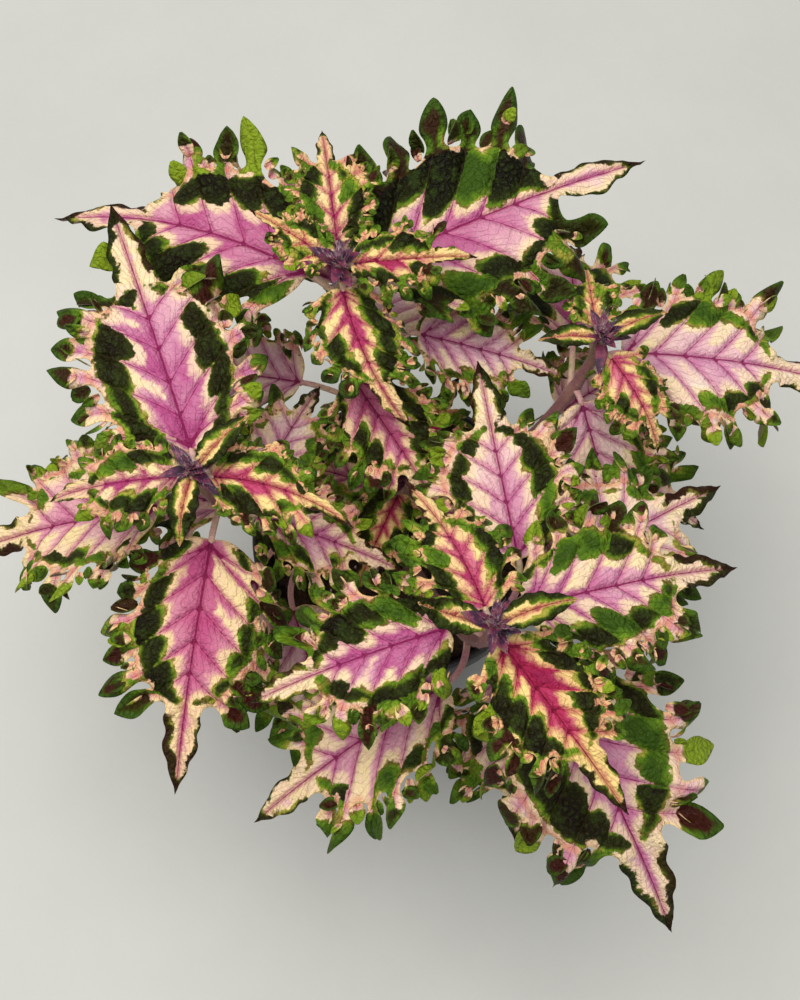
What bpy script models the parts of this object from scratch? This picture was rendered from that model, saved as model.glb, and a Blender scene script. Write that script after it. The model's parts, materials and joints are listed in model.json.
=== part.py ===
"""A potted coleus: five leafy stems of cut and frilled leaves in potting soil, in a plain nursery pot.

Metres, +Z up. The origin is the middle of the pot's underside, and -Y is the plant's front.
Each leafy stem is one solid: its square stem, its leaf stalks and its blades grew as one piece.
"""

import math
import random
from typing import NamedTuple

import bpy
import numpy as np
from mathutils.geometry import delaunay_2d_cdt

MM = 0.001

# The pot, in metres
POT_HEIGHT = 0.112
POT_FOOT_RADIUS = 0.045
POT_WALL_TOP_RADIUS = 0.0605
POT_WALL = 0.0018
POT_FLOOR = 0.0024
RIM_RADIUS = 0.0655
RIM_HEIGHT = 0.016
RIM_ROUND = 0.0012
POT_SIDES = 32
DRAIN_HOLES = 6
DRAIN_RADIUS = 0.005
DRAIN_REACH = 0.014
DRAIN_LIFT = 0.002
DRAIN_SIDES = 10

# The soil, in metres
SOIL_TOP = 0.099
SOIL_LUMP = 0.0016
SOIL_EDGE = 0.094
SOIL_RINGS = 4
SOIL_SIDES = 24
SOIL_SEED = 7
HOLE_SIDES = 12
HOLE_ABOVE = 0.01
TOUCH_GAP = 0.0004

# Stems and leaf stalks, in metres
STEM_FOOT = 0.080
STEM_FOOT_RADIUS = 0.0038
STEM_TIP_RADIUS = 0.0019
STEM_SIDES = 4
STEM_RINGS = 7
LEAN_FROM = SOIL_TOP + 2 * SOIL_LUMP
LEAN_POWER = 1.8
STEEP = 0.8
STALK_SIDES = 4
STALK_RADIUS = 0.0012
STALK_RINGS = 3
STALK_THINNEST = 0.45
STALK_FULL_LENGTH = 82.0
STALK_RISE = 35.0
STALK_ARCH = 0.45

# The stalk's last length runs on under the midrib, to this share of the blade, this much thinner
KEEL_END = 0.07
KEEL_TAPER = 0.6

BLADE_THICKNESS = 0.0008

# The blade's flat outline, in degrees and shares of the blade's length
CORE_WIDTH = 0.28
CORE_SQUEEZE = 1.28
CORE_START = 0.16
FIRST_VEIN = 0.07
LAST_VEIN = 0.51
VEIN_ANGLE = 84.0
VEIN_TURN = 62.0
NARROWEST_CORE = 0.05
LOBE_SHORT = 0.12
LOBE_GROWTH = 0.05
LOBE_HALF_WIDTH = 0.47
SHOULDER = 0.58
SINUS_DEPTH = 0.012
TIP_NECK = (0.645, 0.05)
TIP_SHOULDER = (0.78, 0.07)
STALK_JOIN = (0.0, 0.012)
BASE_EDGE = (0.012, 0.10)
SMALL_MARGIN = ((0.10, 0.10), (0.30, 0.20), (0.55, 0.20), (0.80, 0.10))
MIDRIB_POINTS = (0.1, 0.24, 0.38, 0.52, 0.66, 0.84)
HALF_CORE = 0.55
VEIN_BOUNDS = (-0.15, 1.0)
VEIN_STEPS = 12
WELD = 1e-6

# How lobes vary within a blade
LOBE_TURN = 5.0
LOBE_LENGTHS = (0.82, 1.12)
LOBE_WIDTHS = (0.88, 1.08)
WAVE_SHIFT = 0.5
SWEEP_SHIFT = 0.04

# How the blade is bent
DROOP_POWER = 1.3
MIDRIB_REACH = 1.3
HALF_REACH = 0.7
PROFILE_REACH = 0.3
BEND_STEPS = 96
WAVE_OUT = (0.45, 1.55)
CALM_TIP = (0.78, 0.92)
LOBE_LIFT = 0.2

# Shading breaks at corners sharper than this
SHARP_ANGLE = math.radians(35)


class Leaf(NamedTuple):
    """A leaf in millimetres and degrees. Its stalk leaves the stem at height node."""

    node: float
    azimuth: float
    length: float
    pitch: float
    droop: float
    stalk: float = 18
    swing: float = 0
    roll: float = 0
    left: float = -22
    right: float = -22
    fold: float = 13
    sweep: float = 0
    frill: float = 0.045


class Stem(NamedTuple):
    """A leafy stem: where it leaves the soil, its growing tip, and its leaves."""

    name: str
    foot: tuple
    tip: tuple
    leaves: tuple


STEMS = (
    Stem(
        "leafy_stem_back",
        (-6, 12),
        (-22, 52, 252),
        (
            Leaf(249, 0, 46, 12, 20, stalk=5, left=-60, right=-60, fold=30),
            Leaf(249, 156, 34, 30, 20, stalk=5),
            Leaf(241, -80, 58, 5, 70, stalk=6, left=-50, right=-50, sweep=0.3),
            Leaf(242, 97, 50, 22, 45, stalk=13),
            Leaf(228, 148, 112, 0, 26, stalk=16, left=-75, right=20, sweep=0.22),
            Leaf(228, 27, 122, 4, 18, stalk=16, swing=20, left=14, right=-50),
            Leaf(204, -57, 66, -4, 25, stalk=22, swing=-27),
            Leaf(206, 105, 80, -10, 40, stalk=22),
            Leaf(200, -11, 64, -6, 24, stalk=28, swing=14, left=-12, right=-50),
            Leaf(166, 164, 76, -12, 34, stalk=26),
            Leaf(160, 80, 78, -12, 40, stalk=26),
        ),
    ),
    Stem(
        "leafy_stem_left",
        (-13, -4),
        (-72, -27, 245),
        (
            Leaf(243, 40, 26, 40, 50, stalk=3),
            Leaf(243, -100, 26, 20, 70, stalk=3),
            Leaf(238, 186, 50, 8, 46, stalk=6, left=-45, right=-30),
            Leaf(237, -4, 52, 8, 30, stalk=6, left=-35, right=-50, sweep=-0.25),
            Leaf(227, 109, 104, 12, 14, stalk=14, left=-25, right=-35),
            Leaf(208, -98, 96, -8, 36, stalk=16, left=-60, right=-38),
            Leaf(204, 183, 90, -15, 26, stalk=24, left=-2, right=-10),
            Leaf(198, -15, 62, -8, 28, stalk=10),
            Leaf(187, 66, 58, -4, 28, stalk=14),
            Leaf(160, 156, 76, -15, 35, stalk=24),
            Leaf(156, -120, 72, -20, 35, stalk=22),
            Leaf(133, -72, 80, -12, 34, stalk=34, swing=-36),
        ),
    ),
    Stem(
        "leafy_stem_front",
        (5, -13),
        (31, -86, 255),
        (
            Leaf(253, 172, 28, 20, -30, stalk=3, left=-60, right=-60),
            Leaf(253, 18, 27, 35, 60, stalk=3),
            Leaf(246, 110, 54, 6, 26, stalk=8, sweep=0.15),
            Leaf(244, -54, 70, 0, 30, stalk=5, left=-40, right=-30),
            Leaf(229, 197, 78, -4, 34, stalk=14, swing=-30, left=-30, right=-10),
            Leaf(231, 17, 88, -4, 30, stalk=16, swing=20, left=-10, right=-40),
            Leaf(210, 100, 84, 2, 14, stalk=32, swing=-38),
            Leaf(199, -59, 118, -14, 34, stalk=26, swing=36, left=-15, right=-60),
            Leaf(197, 34, 92, -5, 26, stalk=34),
            Leaf(188, -150, 98, -14, 36, stalk=22, swing=37, left=6, right=-40),
            Leaf(182, -84, 74, -26, 34, stalk=22, swing=40),
        ),
    ),
    Stem(
        "leafy_stem_right",
        (13, 4),
        (76, 35, 228),
        (
            Leaf(226, 15, 24, 40, 40, stalk=3),
            Leaf(226, 190, 24, 30, 40, stalk=3),
            Leaf(218, 94, 32, 2, 36, stalk=9),
            Leaf(220, -56, 44, 0, 66, stalk=7, left=-50, right=-50),
            Leaf(202, -1, 96, -2, 26, stalk=16, swing=25, left=-10, right=-48),
            Leaf(192, -72, 78, -22, 30, stalk=8),
            Leaf(188, 85, 80, -10, 40, stalk=20),
            Leaf(160, -20, 74, -20, 30, stalk=20),
            Leaf(154, 42, 74, -18, 36, stalk=22),
        ),
    ),
    Stem(
        "leafy_stem_centre",
        (0, 0),
        (2, 2, 172),
        (
            Leaf(170, -20, 24, 40, 40, stalk=3),
            Leaf(170, 160, 24, 40, 40, stalk=3),
            Leaf(163, 66, 48, 14, 30, stalk=6),
            Leaf(163, 246, 46, 10, 30, stalk=6),
            Leaf(146, 156, 48, 0, 35, stalk=8),
            Leaf(146, -24, 52, 0, 35, stalk=10),
        ),
    ),
)

# Lobes on each side of a blade, by the blade's least length in millimetres
LOBES_BY_LENGTH = ((60, 6), (42, 5), (30, 4), (0, 0))

# Each piece's colour and roughness
FINISHES = {
    "pot": (0.025, 0.026, 0.027, 0.55),
    "soil": (0.055, 0.036, 0.024, 0.95),
    "leafy_stem_back": (0.40, 0.13, 0.21, 0.45),
    "leafy_stem_left": (0.36, 0.12, 0.17, 0.45),
    "leafy_stem_front": (0.42, 0.15, 0.20, 0.45),
    "leafy_stem_right": (0.38, 0.17, 0.17, 0.45),
    "leafy_stem_centre": (0.22, 0.26, 0.08, 0.45),
}


def smoothstep(low, high, value):
    share = np.clip((value - low) / (high - low), 0, 1)
    return share * share * (3 - 2 * share)


def path_table(angle_at, reach):
    """Distances along a bent line, and its run and rise there, for an angle that changes with distance."""
    along = np.linspace(0, reach, BEND_STEPS)
    angle = angle_at(along)
    step = np.diff(along)
    middle = (angle[1:] + angle[:-1]) / 2
    run = np.concatenate([[0], np.cumsum(np.cos(middle) * step)])
    rise = np.concatenate([[0], np.cumsum(np.sin(middle) * step)])
    return along, run, rise


def inside(points, outline):
    """Which points lie inside a closed outline, by counting the edges to one side of each."""
    x, y = points[:, :1], points[:, 1:]
    x0, y0 = outline[:, 0], outline[:, 1]
    x1, y1 = np.roll(x0, -1), np.roll(y0, -1)
    level = np.where(y1 == y0, 1.0, y1 - y0)
    crossed = ((y0 > y) != (y1 > y)) & (x < x0 + (y - y0) / level * (x1 - x0))
    return crossed.sum(axis=1) % 2 == 1


class Lobe(NamedTuple):
    """One lobe of the cut margin, in shares of the blade's length, on the side where y is positive."""

    root: np.ndarray
    axis: np.ndarray
    ahead: np.ndarray
    length: float
    half_width: float
    lift: float


def vein_angle(start):
    """The angle between the midrib and the side vein that leaves it at start."""
    return np.radians(VEIN_ANGLE - VEIN_TURN * start)


def core_reach(start):
    """The length of a side vein from the midrib to the margin between the lobes."""
    reach = CORE_WIDTH * np.sin(math.pi * (CORE_SQUEEZE * np.asarray(start) + CORE_START))
    return np.maximum(reach, NARROWEST_CORE)


def on_vein(start, share):
    """The point at that share of the way from the midrib to the margin, along the vein from start."""
    angle = vein_angle(start)
    reach = core_reach(start) * share
    return np.array([start + reach * np.cos(angle), reach * np.sin(angle)])


class Blade:
    """A leaf blade: a flat cut outline in shares of its length, and the bend that sets it in the plant."""

    def __init__(self, leaf, seed):
        self.leaf = leaf
        self.length = leaf.length * MM
        self.count = next(n for least, n in LOBES_BY_LENGTH if leaf.length >= least)
        draw = random.Random(seed)
        self.sides = [self.draw_lobes(draw) for _ in range(2)]
        self.phase = [draw.uniform(-WAVE_SHIFT, WAVE_SHIFT) for _ in range(2)]
        self.sweep = leaf.sweep + draw.uniform(-SWEEP_SHIFT, SWEEP_SHIFT)
        self.midrib = path_table(self.pitch_at, MIDRIB_REACH)
        self.halves = [path_table(self.half_angle(bend), HALF_REACH) for bend in (leaf.left, leaf.right)]

    def pitch_at(self, along):
        return np.radians(self.leaf.pitch - self.leaf.droop * along**DROOP_POWER)

    def half_angle(self, bend):
        return lambda across: np.radians(self.leaf.fold + bend * across / PROFILE_REACH)

    def starts(self):
        """Where the side veins leave the midrib."""
        return np.linspace(FIRST_VEIN, LAST_VEIN, max(self.count, 2))

    def spacing(self):
        return (LAST_VEIN - FIRST_VEIN) / max(self.count - 1, 1)

    def draw_lobes(self, draw):
        lobes = []
        for i in range(self.count):
            share = i / (self.count - 1)
            start = self.starts()[i]
            angle = vein_angle(start) + math.radians(draw.uniform(-LOBE_TURN, LOBE_TURN))
            lobes.append(
                Lobe(
                    root=on_vein(start, 1.0),
                    axis=np.array([math.cos(angle), math.sin(angle)]),
                    ahead=np.array([math.sin(angle), -math.cos(angle)]),
                    length=(LOBE_SHORT + LOBE_GROWTH * share) * draw.uniform(*LOBE_LENGTHS),
                    half_width=LOBE_HALF_WIDTH * self.spacing() * draw.uniform(*LOBE_WIDTHS),
                    lift=draw.uniform(-1, 1),
                )
            )
        return lobes

    def margin(self, lobes):
        """One half of the outline from stalk to tip, both ends left out."""
        if not lobes:
            return list(SMALL_MARGIN)
        starts = self.starts()
        points = [BASE_EDGE, tuple(lobes[0].root - lobes[0].ahead * lobes[0].half_width)]
        for i, lobe in enumerate(lobes):
            middle = lobe.root + lobe.axis * lobe.length * SHOULDER
            points.append(tuple(middle - lobe.ahead * lobe.half_width))
            points.append(tuple(lobe.root + lobe.axis * lobe.length))
            points.append(tuple(middle + lobe.ahead * lobe.half_width))
            if i + 1 < len(lobes):
                between = (starts[i] + starts[i + 1]) / 2
                points.append(tuple(on_vein(between, 1.0 - SINUS_DEPTH / core_reach(between))))
        return points + [TIP_NECK, TIP_SHOULDER]

    def flat(self):
        """The blade's flat outline filled with triangles: points and faces, counter-clockwise."""
        left, right = (self.margin(lobes) for lobes in self.sides)
        outline = [STALK_JOIN, *left, (1.0, 0.0), *[(x, -y) for x, y in reversed(right)]]
        outline.append((STALK_JOIN[0], -STALK_JOIN[1]))
        outline.reverse()
        inner = [(x, 0.0) for x in MIDRIB_POINTS[:: 1 if self.count else 2]]
        for start in self.starts() if self.count else ():
            x, y = on_vein(start, HALF_CORE)
            inner += [(x, y), (x, -y)]
        ring = list(range(len(outline)))
        edges = [(i, (i + 1) % len(ring)) for i in ring]
        points, _, faces, *_ = delaunay_2d_cdt(outline + inner, edges, [ring], 1, WELD, False)
        points = np.array([tuple(p) for p in points])
        faces = np.array([tuple(f) for f in faces])
        kept = inside(points[faces].mean(axis=1), np.array(outline))
        return points, faces[kept].tolist()

    def vein_place(self, flat):
        """Where each point's side vein leaves the midrib, and how far out the point lies, 1 at a sinus."""
        x, across = flat[:, 0], np.abs(flat[:, 1])
        start = x - across
        for _ in range(VEIN_STEPS):
            start = np.clip(x - across / np.tan(vein_angle(start)), *VEIN_BOUNDS)
        return start, across / np.sin(vein_angle(start)) / core_reach(start)

    def frill(self, flat, is_left):
        """How far the waved margin and the single lobes lift off the blade's plain curve."""
        start, out = self.vein_place(flat)
        index = (start - FIRST_VEIN) / self.spacing()
        phase = np.where(is_left, *self.phase)
        lift = self.leaf.frill * np.cos(math.pi * index + phase) * smoothstep(*WAVE_OUT, out)
        if self.count:
            steps = np.arange(self.count)
            lifts = [np.interp(index, steps, [lobe.lift for lobe in lobes]) for lobes in self.sides]
            lift += LOBE_LIFT * np.where(is_left, *lifts) * np.maximum(out - 1, 0) ** 2
        return lift * (1 - smoothstep(*CALM_TIP, start))

    def place(self, flat, base):
        """The flat points bent to the leaf's form, with the blade's foot at base."""
        x, across, is_left = flat[:, 0], np.abs(flat[:, 1]), flat[:, 1] >= 0
        lateral, rise = (
            np.where(is_left, *(np.interp(across, half[0], half[k]) for half in self.halves))
            for k in (1, 2)
        )
        rise = rise + self.frill(flat, is_left)
        lateral = lateral * np.where(is_left, 1, -1) + self.sweep * x * x
        roll = math.radians(self.leaf.roll)
        lateral, rise = (
            lateral * math.cos(roll) - rise * math.sin(roll),
            lateral * math.sin(roll) + rise * math.cos(roll),
        )
        pitch = self.pitch_at(x)
        heading = math.radians(self.leaf.azimuth)
        forward = np.interp(x, self.midrib[0], self.midrib[1]) - np.sin(pitch) * rise
        up = np.interp(x, self.midrib[0], self.midrib[2]) + np.cos(pitch) * rise
        ahead = np.array([math.cos(heading), math.sin(heading), 0])
        aside = np.array([-math.sin(heading), math.cos(heading), 0])
        placed = forward[:, None] * ahead + lateral[:, None] * aside
        placed[:, 2] = up
        return base + placed * self.length


def stem_centre(stem, height):
    """The middle of the stem at a height: upright in the soil, then leaning out, and steeper by the tip."""
    foot = np.array(stem.foot) * MM
    tip = np.array(stem.tip) * MM
    share = min(max((height - LEAN_FROM) / (tip[2] - LEAN_FROM), 0), 1)
    out = 1 - (1 - share) ** LEAN_POWER
    return np.array([*(foot + (tip[:2] - foot) * out), height])


def stem_radius(stem, height):
    share = (height - STEM_FOOT) / (stem.tip[2] * MM - STEM_FOOT)
    return STEM_FOOT_RADIUS + (STEM_TIP_RADIUS - STEM_FOOT_RADIUS) * share


def direction(azimuth, rise):
    """The unit vector at an azimuth from +X and a rise above the horizontal, both in degrees."""
    azimuth, rise = math.radians(azimuth), math.radians(rise)
    level = math.cos(rise)
    return np.array([math.cos(azimuth) * level, math.sin(azimuth) * level, math.sin(rise)])


def stalk_path(stem, leaf, blade):
    """A leaf's stalk from inside the stem to under the midrib: centres, radii and the blade's foot."""
    foot = stem_centre(stem, leaf.node * MM)
    reach = leaf.stalk * MM
    base = foot + reach * direction(leaf.azimuth + leaf.swing, (leaf.pitch + STALK_RISE) / 2)
    control = base - reach * STALK_ARCH * direction(leaf.azimuth, leaf.pitch)
    share = np.linspace(0, 1, STALK_RINGS)[:, None]
    centres = foot * (1 - share) ** 2 + control * 2 * share * (1 - share) + base * share**2
    keel = blade.place(np.array([[KEEL_END, 0.0]]), base)
    grown = min(leaf.length / STALK_FULL_LENGTH, 1)
    thick = STALK_RADIUS * (STALK_THINNEST + (1 - STALK_THINNEST) * grown)
    return np.concatenate([centres, keel]), [thick] * STALK_RINGS + [thick * KEEL_TAPER], base


def tube(centres, radii, sides):
    """A closed tube along centres: vertices and faces."""
    count = len(centres)
    along = np.gradient(np.asarray(centres), axis=0)
    along /= np.linalg.norm(along, axis=1)[:, None]
    reference = (0.0, 0.0, 1.0) if abs(along[0][2]) < STEEP else (1.0, 0.0, 0.0)
    vertices, faces = [], []
    for centre, ahead, radius in zip(centres, along, radii):
        side = np.cross(reference, ahead)
        side /= np.linalg.norm(side)
        top = np.cross(ahead, side)
        for k in range(sides):
            angle = 2 * math.pi * k / sides
            vertices.append(centre + radius * (math.cos(angle) * side + math.sin(angle) * top))
    for ring in range(count - 1):
        for k in range(sides):
            a, b = ring * sides + k, ring * sides + (k + 1) % sides
            faces.append((a, b, b + sides, a + sides))
    faces.append(tuple(reversed(range(sides))))
    faces.append(tuple(range((count - 1) * sides, count * sides)))
    return vertices, faces


def thicken(points, faces, thickness):
    """A closed sheet of that thickness about a triangulated surface, split alike on both faces."""
    corners = points[faces]
    normal = np.cross(corners[:, 1] - corners[:, 0], corners[:, 2] - corners[:, 0])
    at_points = np.zeros_like(points)
    for k in range(3):
        np.add.at(at_points, np.array(faces)[:, k], normal)
    offset = at_points / np.linalg.norm(at_points, axis=1)[:, None] * thickness / 2
    count = len(points)
    vertices = np.concatenate([points + offset, points - offset])
    closed = [tuple(f) for f in faces] + [tuple(i + count for i in reversed(f)) for f in faces]
    directed = {(f[k], f[(k + 1) % 3]) for f in faces for k in range(3)}
    for a, b in sorted(directed):
        if (b, a) not in directed:
            closed.append((b, a, a + count))
            closed.append((b, a + count, b + count))
    return vertices, closed


def new_object(name, vertices, faces, collection=None):
    mesh = bpy.data.meshes.new(name)
    mesh.from_pydata([tuple(v) for v in vertices], [], faces)
    obj = bpy.data.objects.new(name, mesh)
    (collection or bpy.context.scene.collection).objects.link(obj)
    return obj


def finish(obj):
    """Gives a finished piece its own material, and smooth shading broken at its corners."""
    made = bpy.data.materials.new(obj.name)
    made.use_nodes = True
    shader = made.node_tree.nodes["Principled BSDF"]
    *colour, roughness = FINISHES[obj.name]
    shader.inputs["Base Color"].default_value = (*colour, 1)
    shader.inputs["Roughness"].default_value = roughness
    shader.inputs["Metallic"].default_value = 0
    obj.data.materials.clear()
    obj.data.materials.append(made)
    obj.data.shade_smooth()
    obj.data.set_sharp_from_angle(angle=SHARP_ANGLE)


def apply_boolean(obj, operation, solver, collection):
    """Joins or cuts obj with everything in collection, keeps the result in obj, and removes the helpers."""
    boolean = obj.modifiers.new("join", "BOOLEAN")
    boolean.operation = operation
    boolean.solver = solver
    boolean.operand_type = "COLLECTION"
    boolean.collection = collection
    bpy.context.view_layer.update()
    graph = bpy.context.evaluated_depsgraph_get()
    mesh = bpy.data.meshes.new_from_object(obj.evaluated_get(graph))
    obj.modifiers.clear()
    obj.data = mesh
    for helper in list(collection.objects):
        bpy.data.objects.remove(helper)
    bpy.data.collections.remove(collection)


def helper_collection(name):
    made = bpy.data.collections.new(name)
    bpy.context.scene.collection.children.link(made)
    return made


def leafy_stem(number, stem):
    """A square stem with its stalks and blades, joined in one solid.

    The solver is MANIFOLD because EXACT leaves open edges where a stalk runs out under its blade.
    """
    heights = [STEM_FOOT, *np.linspace(LEAN_FROM, stem.tip[2] * MM, STEM_RINGS)]
    centres = [stem_centre(stem, height) for height in heights]
    radii = [stem_radius(stem, height) for height in heights]
    obj = new_object(stem.name, *tube(centres, radii, STEM_SIDES))
    growth = helper_collection(stem.name + "_growth")
    for order, leaf in enumerate(stem.leaves):
        blade = Blade(leaf, 100 * number + order)
        centres, radii, base = stalk_path(stem, leaf, blade)
        new_object(f"stalk_{order}", *tube(centres, radii, STALK_SIDES), growth)
        flat, faces = blade.flat()
        new_object(f"blade_{order}", *thicken(blade.place(flat, base), faces, BLADE_THICKNESS), growth)
    apply_boolean(obj, "UNION", "MANIFOLD", growth)
    return obj


def revolve(name, profile, sides):
    """A solid turned about +Z from a profile of (radius, height) that starts and ends on the axis."""
    vertices = [(0, 0, profile[0][1])]
    for radius, height in profile[1:-1]:
        for k in range(sides):
            angle = 2 * math.pi * k / sides
            vertices.append((radius * math.cos(angle), radius * math.sin(angle), height))
    vertices.append((0, 0, profile[-1][1]))
    last = len(vertices) - 1
    faces = []
    rings = len(profile) - 2
    for k in range(sides):
        after = (k + 1) % sides
        faces.append((0, 1 + after, 1 + k))
        for ring in range(rings - 1):
            a, b = 1 + ring * sides + k, 1 + ring * sides + after
            faces.append((a, b, b + sides, a + sides))
        faces.append((last, 1 + (rings - 1) * sides + k, 1 + (rings - 1) * sides + after))
    return new_object(name, vertices, faces)


def wall_inside(height):
    """The radius of the pot's inner wall at a height, below its rim."""
    share = height / (POT_HEIGHT - RIM_HEIGHT)
    return POT_FOOT_RADIUS + (POT_WALL_TOP_RADIUS - POT_FOOT_RADIUS) * share - POT_WALL


def pot():
    """A nursery pot: a tapered wall, a stepped rim, a flat floor and drain holes round its foot."""
    step = POT_HEIGHT - RIM_HEIGHT
    profile = [
        (0, 0),
        (POT_FOOT_RADIUS - RIM_ROUND, 0),
        (POT_FOOT_RADIUS, RIM_ROUND),
        (POT_WALL_TOP_RADIUS, step),
        (RIM_RADIUS - 2 * RIM_ROUND, step + RIM_ROUND),
        (RIM_RADIUS - RIM_ROUND, step + 2 * RIM_ROUND),
        (RIM_RADIUS, POT_HEIGHT - RIM_ROUND),
        (RIM_RADIUS - RIM_ROUND, POT_HEIGHT),
        (RIM_RADIUS - RIM_ROUND - POT_WALL, POT_HEIGHT),
        (RIM_RADIUS - 2 * RIM_ROUND - POT_WALL, step + 2 * RIM_ROUND),
        (wall_inside(step), step),
        (wall_inside(POT_FLOOR), POT_FLOOR),
        (0, POT_FLOOR),
    ]
    body = revolve("pot", profile, POT_SIDES)
    cutters = helper_collection("drain_cutters")
    for k in range(DRAIN_HOLES):
        heading = 2 * math.pi * (k + 0.5) / DRAIN_HOLES
        ends = [
            (reach * math.cos(heading), reach * math.sin(heading), DRAIN_LIFT)
            for reach in (POT_FOOT_RADIUS - DRAIN_REACH, POT_FOOT_RADIUS + DRAIN_REACH)
        ]
        new_object(f"drain_{k}", *tube(np.array(ends), [DRAIN_RADIUS] * 2, DRAIN_SIDES), cutters)
    apply_boolean(body, "DIFFERENCE", "EXACT", cutters)
    return body


def soil():
    """Potting soil with a lumpy top, and a plain hole for each stem."""
    draw = random.Random(SOIL_SEED)
    floor = POT_FLOOR + TOUCH_GAP
    edge = wall_inside(SOIL_EDGE) - TOUCH_GAP
    profile = [(0, floor), (wall_inside(floor) - TOUCH_GAP, floor), (edge, SOIL_EDGE)]
    for ring in range(SOIL_RINGS - 1, 0, -1):
        profile.append((edge * ring / SOIL_RINGS, SOIL_TOP))
    profile.append((0, SOIL_TOP))
    body = revolve("soil", profile, SOIL_SIDES)
    for vertex in body.data.vertices:
        if vertex.co.z > SOIL_TOP - SOIL_LUMP:
            vertex.co.z += draw.uniform(-SOIL_LUMP, SOIL_LUMP)
    cutters = helper_collection("stem_holes")
    for stem in STEMS:
        x, y = np.array(stem.foot) * MM
        ends = np.array([(x, y, STEM_FOOT - TOUCH_GAP), (x, y, SOIL_TOP + HOLE_ABOVE)])
        hole = STEM_FOOT_RADIUS + 2 * TOUCH_GAP
        new_object(stem.name + "_hole", *tube(ends, [hole] * 2, HOLE_SIDES), cutters)
    apply_boolean(body, "DIFFERENCE", "EXACT", cutters)
    return body


def main():
    for obj in list(bpy.data.objects):
        bpy.data.objects.remove(obj)
    made = [pot(), soil()]
    made += [leafy_stem(number, stem) for number, stem in enumerate(STEMS)]
    for obj in made:
        finish(obj)


main()
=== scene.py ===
"""The looks of a potted coleus: finer leaves, stems, hairs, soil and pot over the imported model.

Metres, +Z up, in the model's own frame. The leafy stems' table and the blade's form repeat the part's
source, so each finer leaf lies where its plain solid lies.
"""

import json
import math
import random
from types import SimpleNamespace
from typing import NamedTuple

import bpy
import numpy as np
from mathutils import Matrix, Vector, kdtree, noise
from mathutils.geometry import delaunay_2d_cdt

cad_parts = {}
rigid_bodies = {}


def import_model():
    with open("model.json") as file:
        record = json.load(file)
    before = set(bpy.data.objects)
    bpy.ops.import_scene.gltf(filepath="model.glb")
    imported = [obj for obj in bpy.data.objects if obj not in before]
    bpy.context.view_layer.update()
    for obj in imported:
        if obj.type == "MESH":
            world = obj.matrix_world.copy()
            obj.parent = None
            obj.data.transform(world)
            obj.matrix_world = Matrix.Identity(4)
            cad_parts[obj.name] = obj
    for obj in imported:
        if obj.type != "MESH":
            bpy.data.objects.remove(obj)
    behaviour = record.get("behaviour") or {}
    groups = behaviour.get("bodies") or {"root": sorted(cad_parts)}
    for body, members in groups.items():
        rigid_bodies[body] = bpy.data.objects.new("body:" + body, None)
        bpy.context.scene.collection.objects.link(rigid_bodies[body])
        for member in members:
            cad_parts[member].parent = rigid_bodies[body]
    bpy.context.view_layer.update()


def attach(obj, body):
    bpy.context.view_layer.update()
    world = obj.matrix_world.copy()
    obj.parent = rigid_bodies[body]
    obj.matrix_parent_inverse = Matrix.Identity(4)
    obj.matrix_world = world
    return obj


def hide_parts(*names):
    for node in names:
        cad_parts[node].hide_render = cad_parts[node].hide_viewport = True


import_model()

MM = 0.001

# The pot and the soil, in metres, as in the part's source
POT_HEIGHT = 0.112
POT_FOOT_RADIUS = 0.045
POT_WALL_TOP_RADIUS = 0.0605
POT_WALL = 0.0018
POT_FLOOR = 0.0024
RIM_RADIUS = 0.0655
RIM_HEIGHT = 0.016
RIM_ROUND = 0.0012
DRAIN_HOLES = 6
DRAIN_RADIUS = 0.005
DRAIN_REACH = 0.014
DRAIN_LIFT = 0.002
SOIL_TOP = 0.099
SOIL_LUMP = 0.0016
SOIL_EDGE = 0.094
TOUCH_GAP = 0.0004

# Stems and leaf stalks, in metres, as in the part's source
STEM_FOOT = 0.080
STEM_FOOT_RADIUS = 0.0038
STEM_TIP_RADIUS = 0.0019
LEAN_FROM = SOIL_TOP + 2 * SOIL_LUMP
LEAN_POWER = 1.8
STEEP = 0.8
STALK_RADIUS = 0.0012
STALK_THINNEST = 0.45
STALK_FULL_LENGTH = 82.0
STALK_RISE = 35.0
STALK_ARCH = 0.45

# The blade's flat outline, in degrees and shares of the blade's length, as in the part's source
CORE_WIDTH = 0.28
CORE_SQUEEZE = 1.28
CORE_START = 0.16
FIRST_VEIN = 0.07
LAST_VEIN = 0.51
VEIN_ANGLE = 84.0
VEIN_TURN = 62.0
NARROWEST_CORE = 0.05
LOBE_SHORT = 0.12
LOBE_GROWTH = 0.05
LOBE_HALF_WIDTH = 0.47
VEIN_BOUNDS = (-0.15, 1.0)
VEIN_STEPS = 12
LOBE_TURN = 5.0
LOBE_LENGTHS = (0.82, 1.12)
LOBE_WIDTHS = (0.88, 1.08)
WAVE_SHIFT = 0.5
SWEEP_SHIFT = 0.04

# How the blade is bent, as in the part's source but for LIFT_REACH, which keeps the lobes' ends calmer
DROOP_POWER = 1.3
MIDRIB_REACH = 1.3
HALF_REACH = 0.7
PROFILE_REACH = 0.3
BEND_STEPS = 96
WAVE_OUT = (0.45, 1.55)
CALM_TIP = (0.78, 0.92)
LOBE_LIFT = 0.2
LIFT_REACH = 0.8

# Lobes on each side of a blade, by the blade's least length in millimetres
LOBES_BY_LENGTH = ((60, 6), (42, 5), (30, 4), (0, 0))

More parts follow.
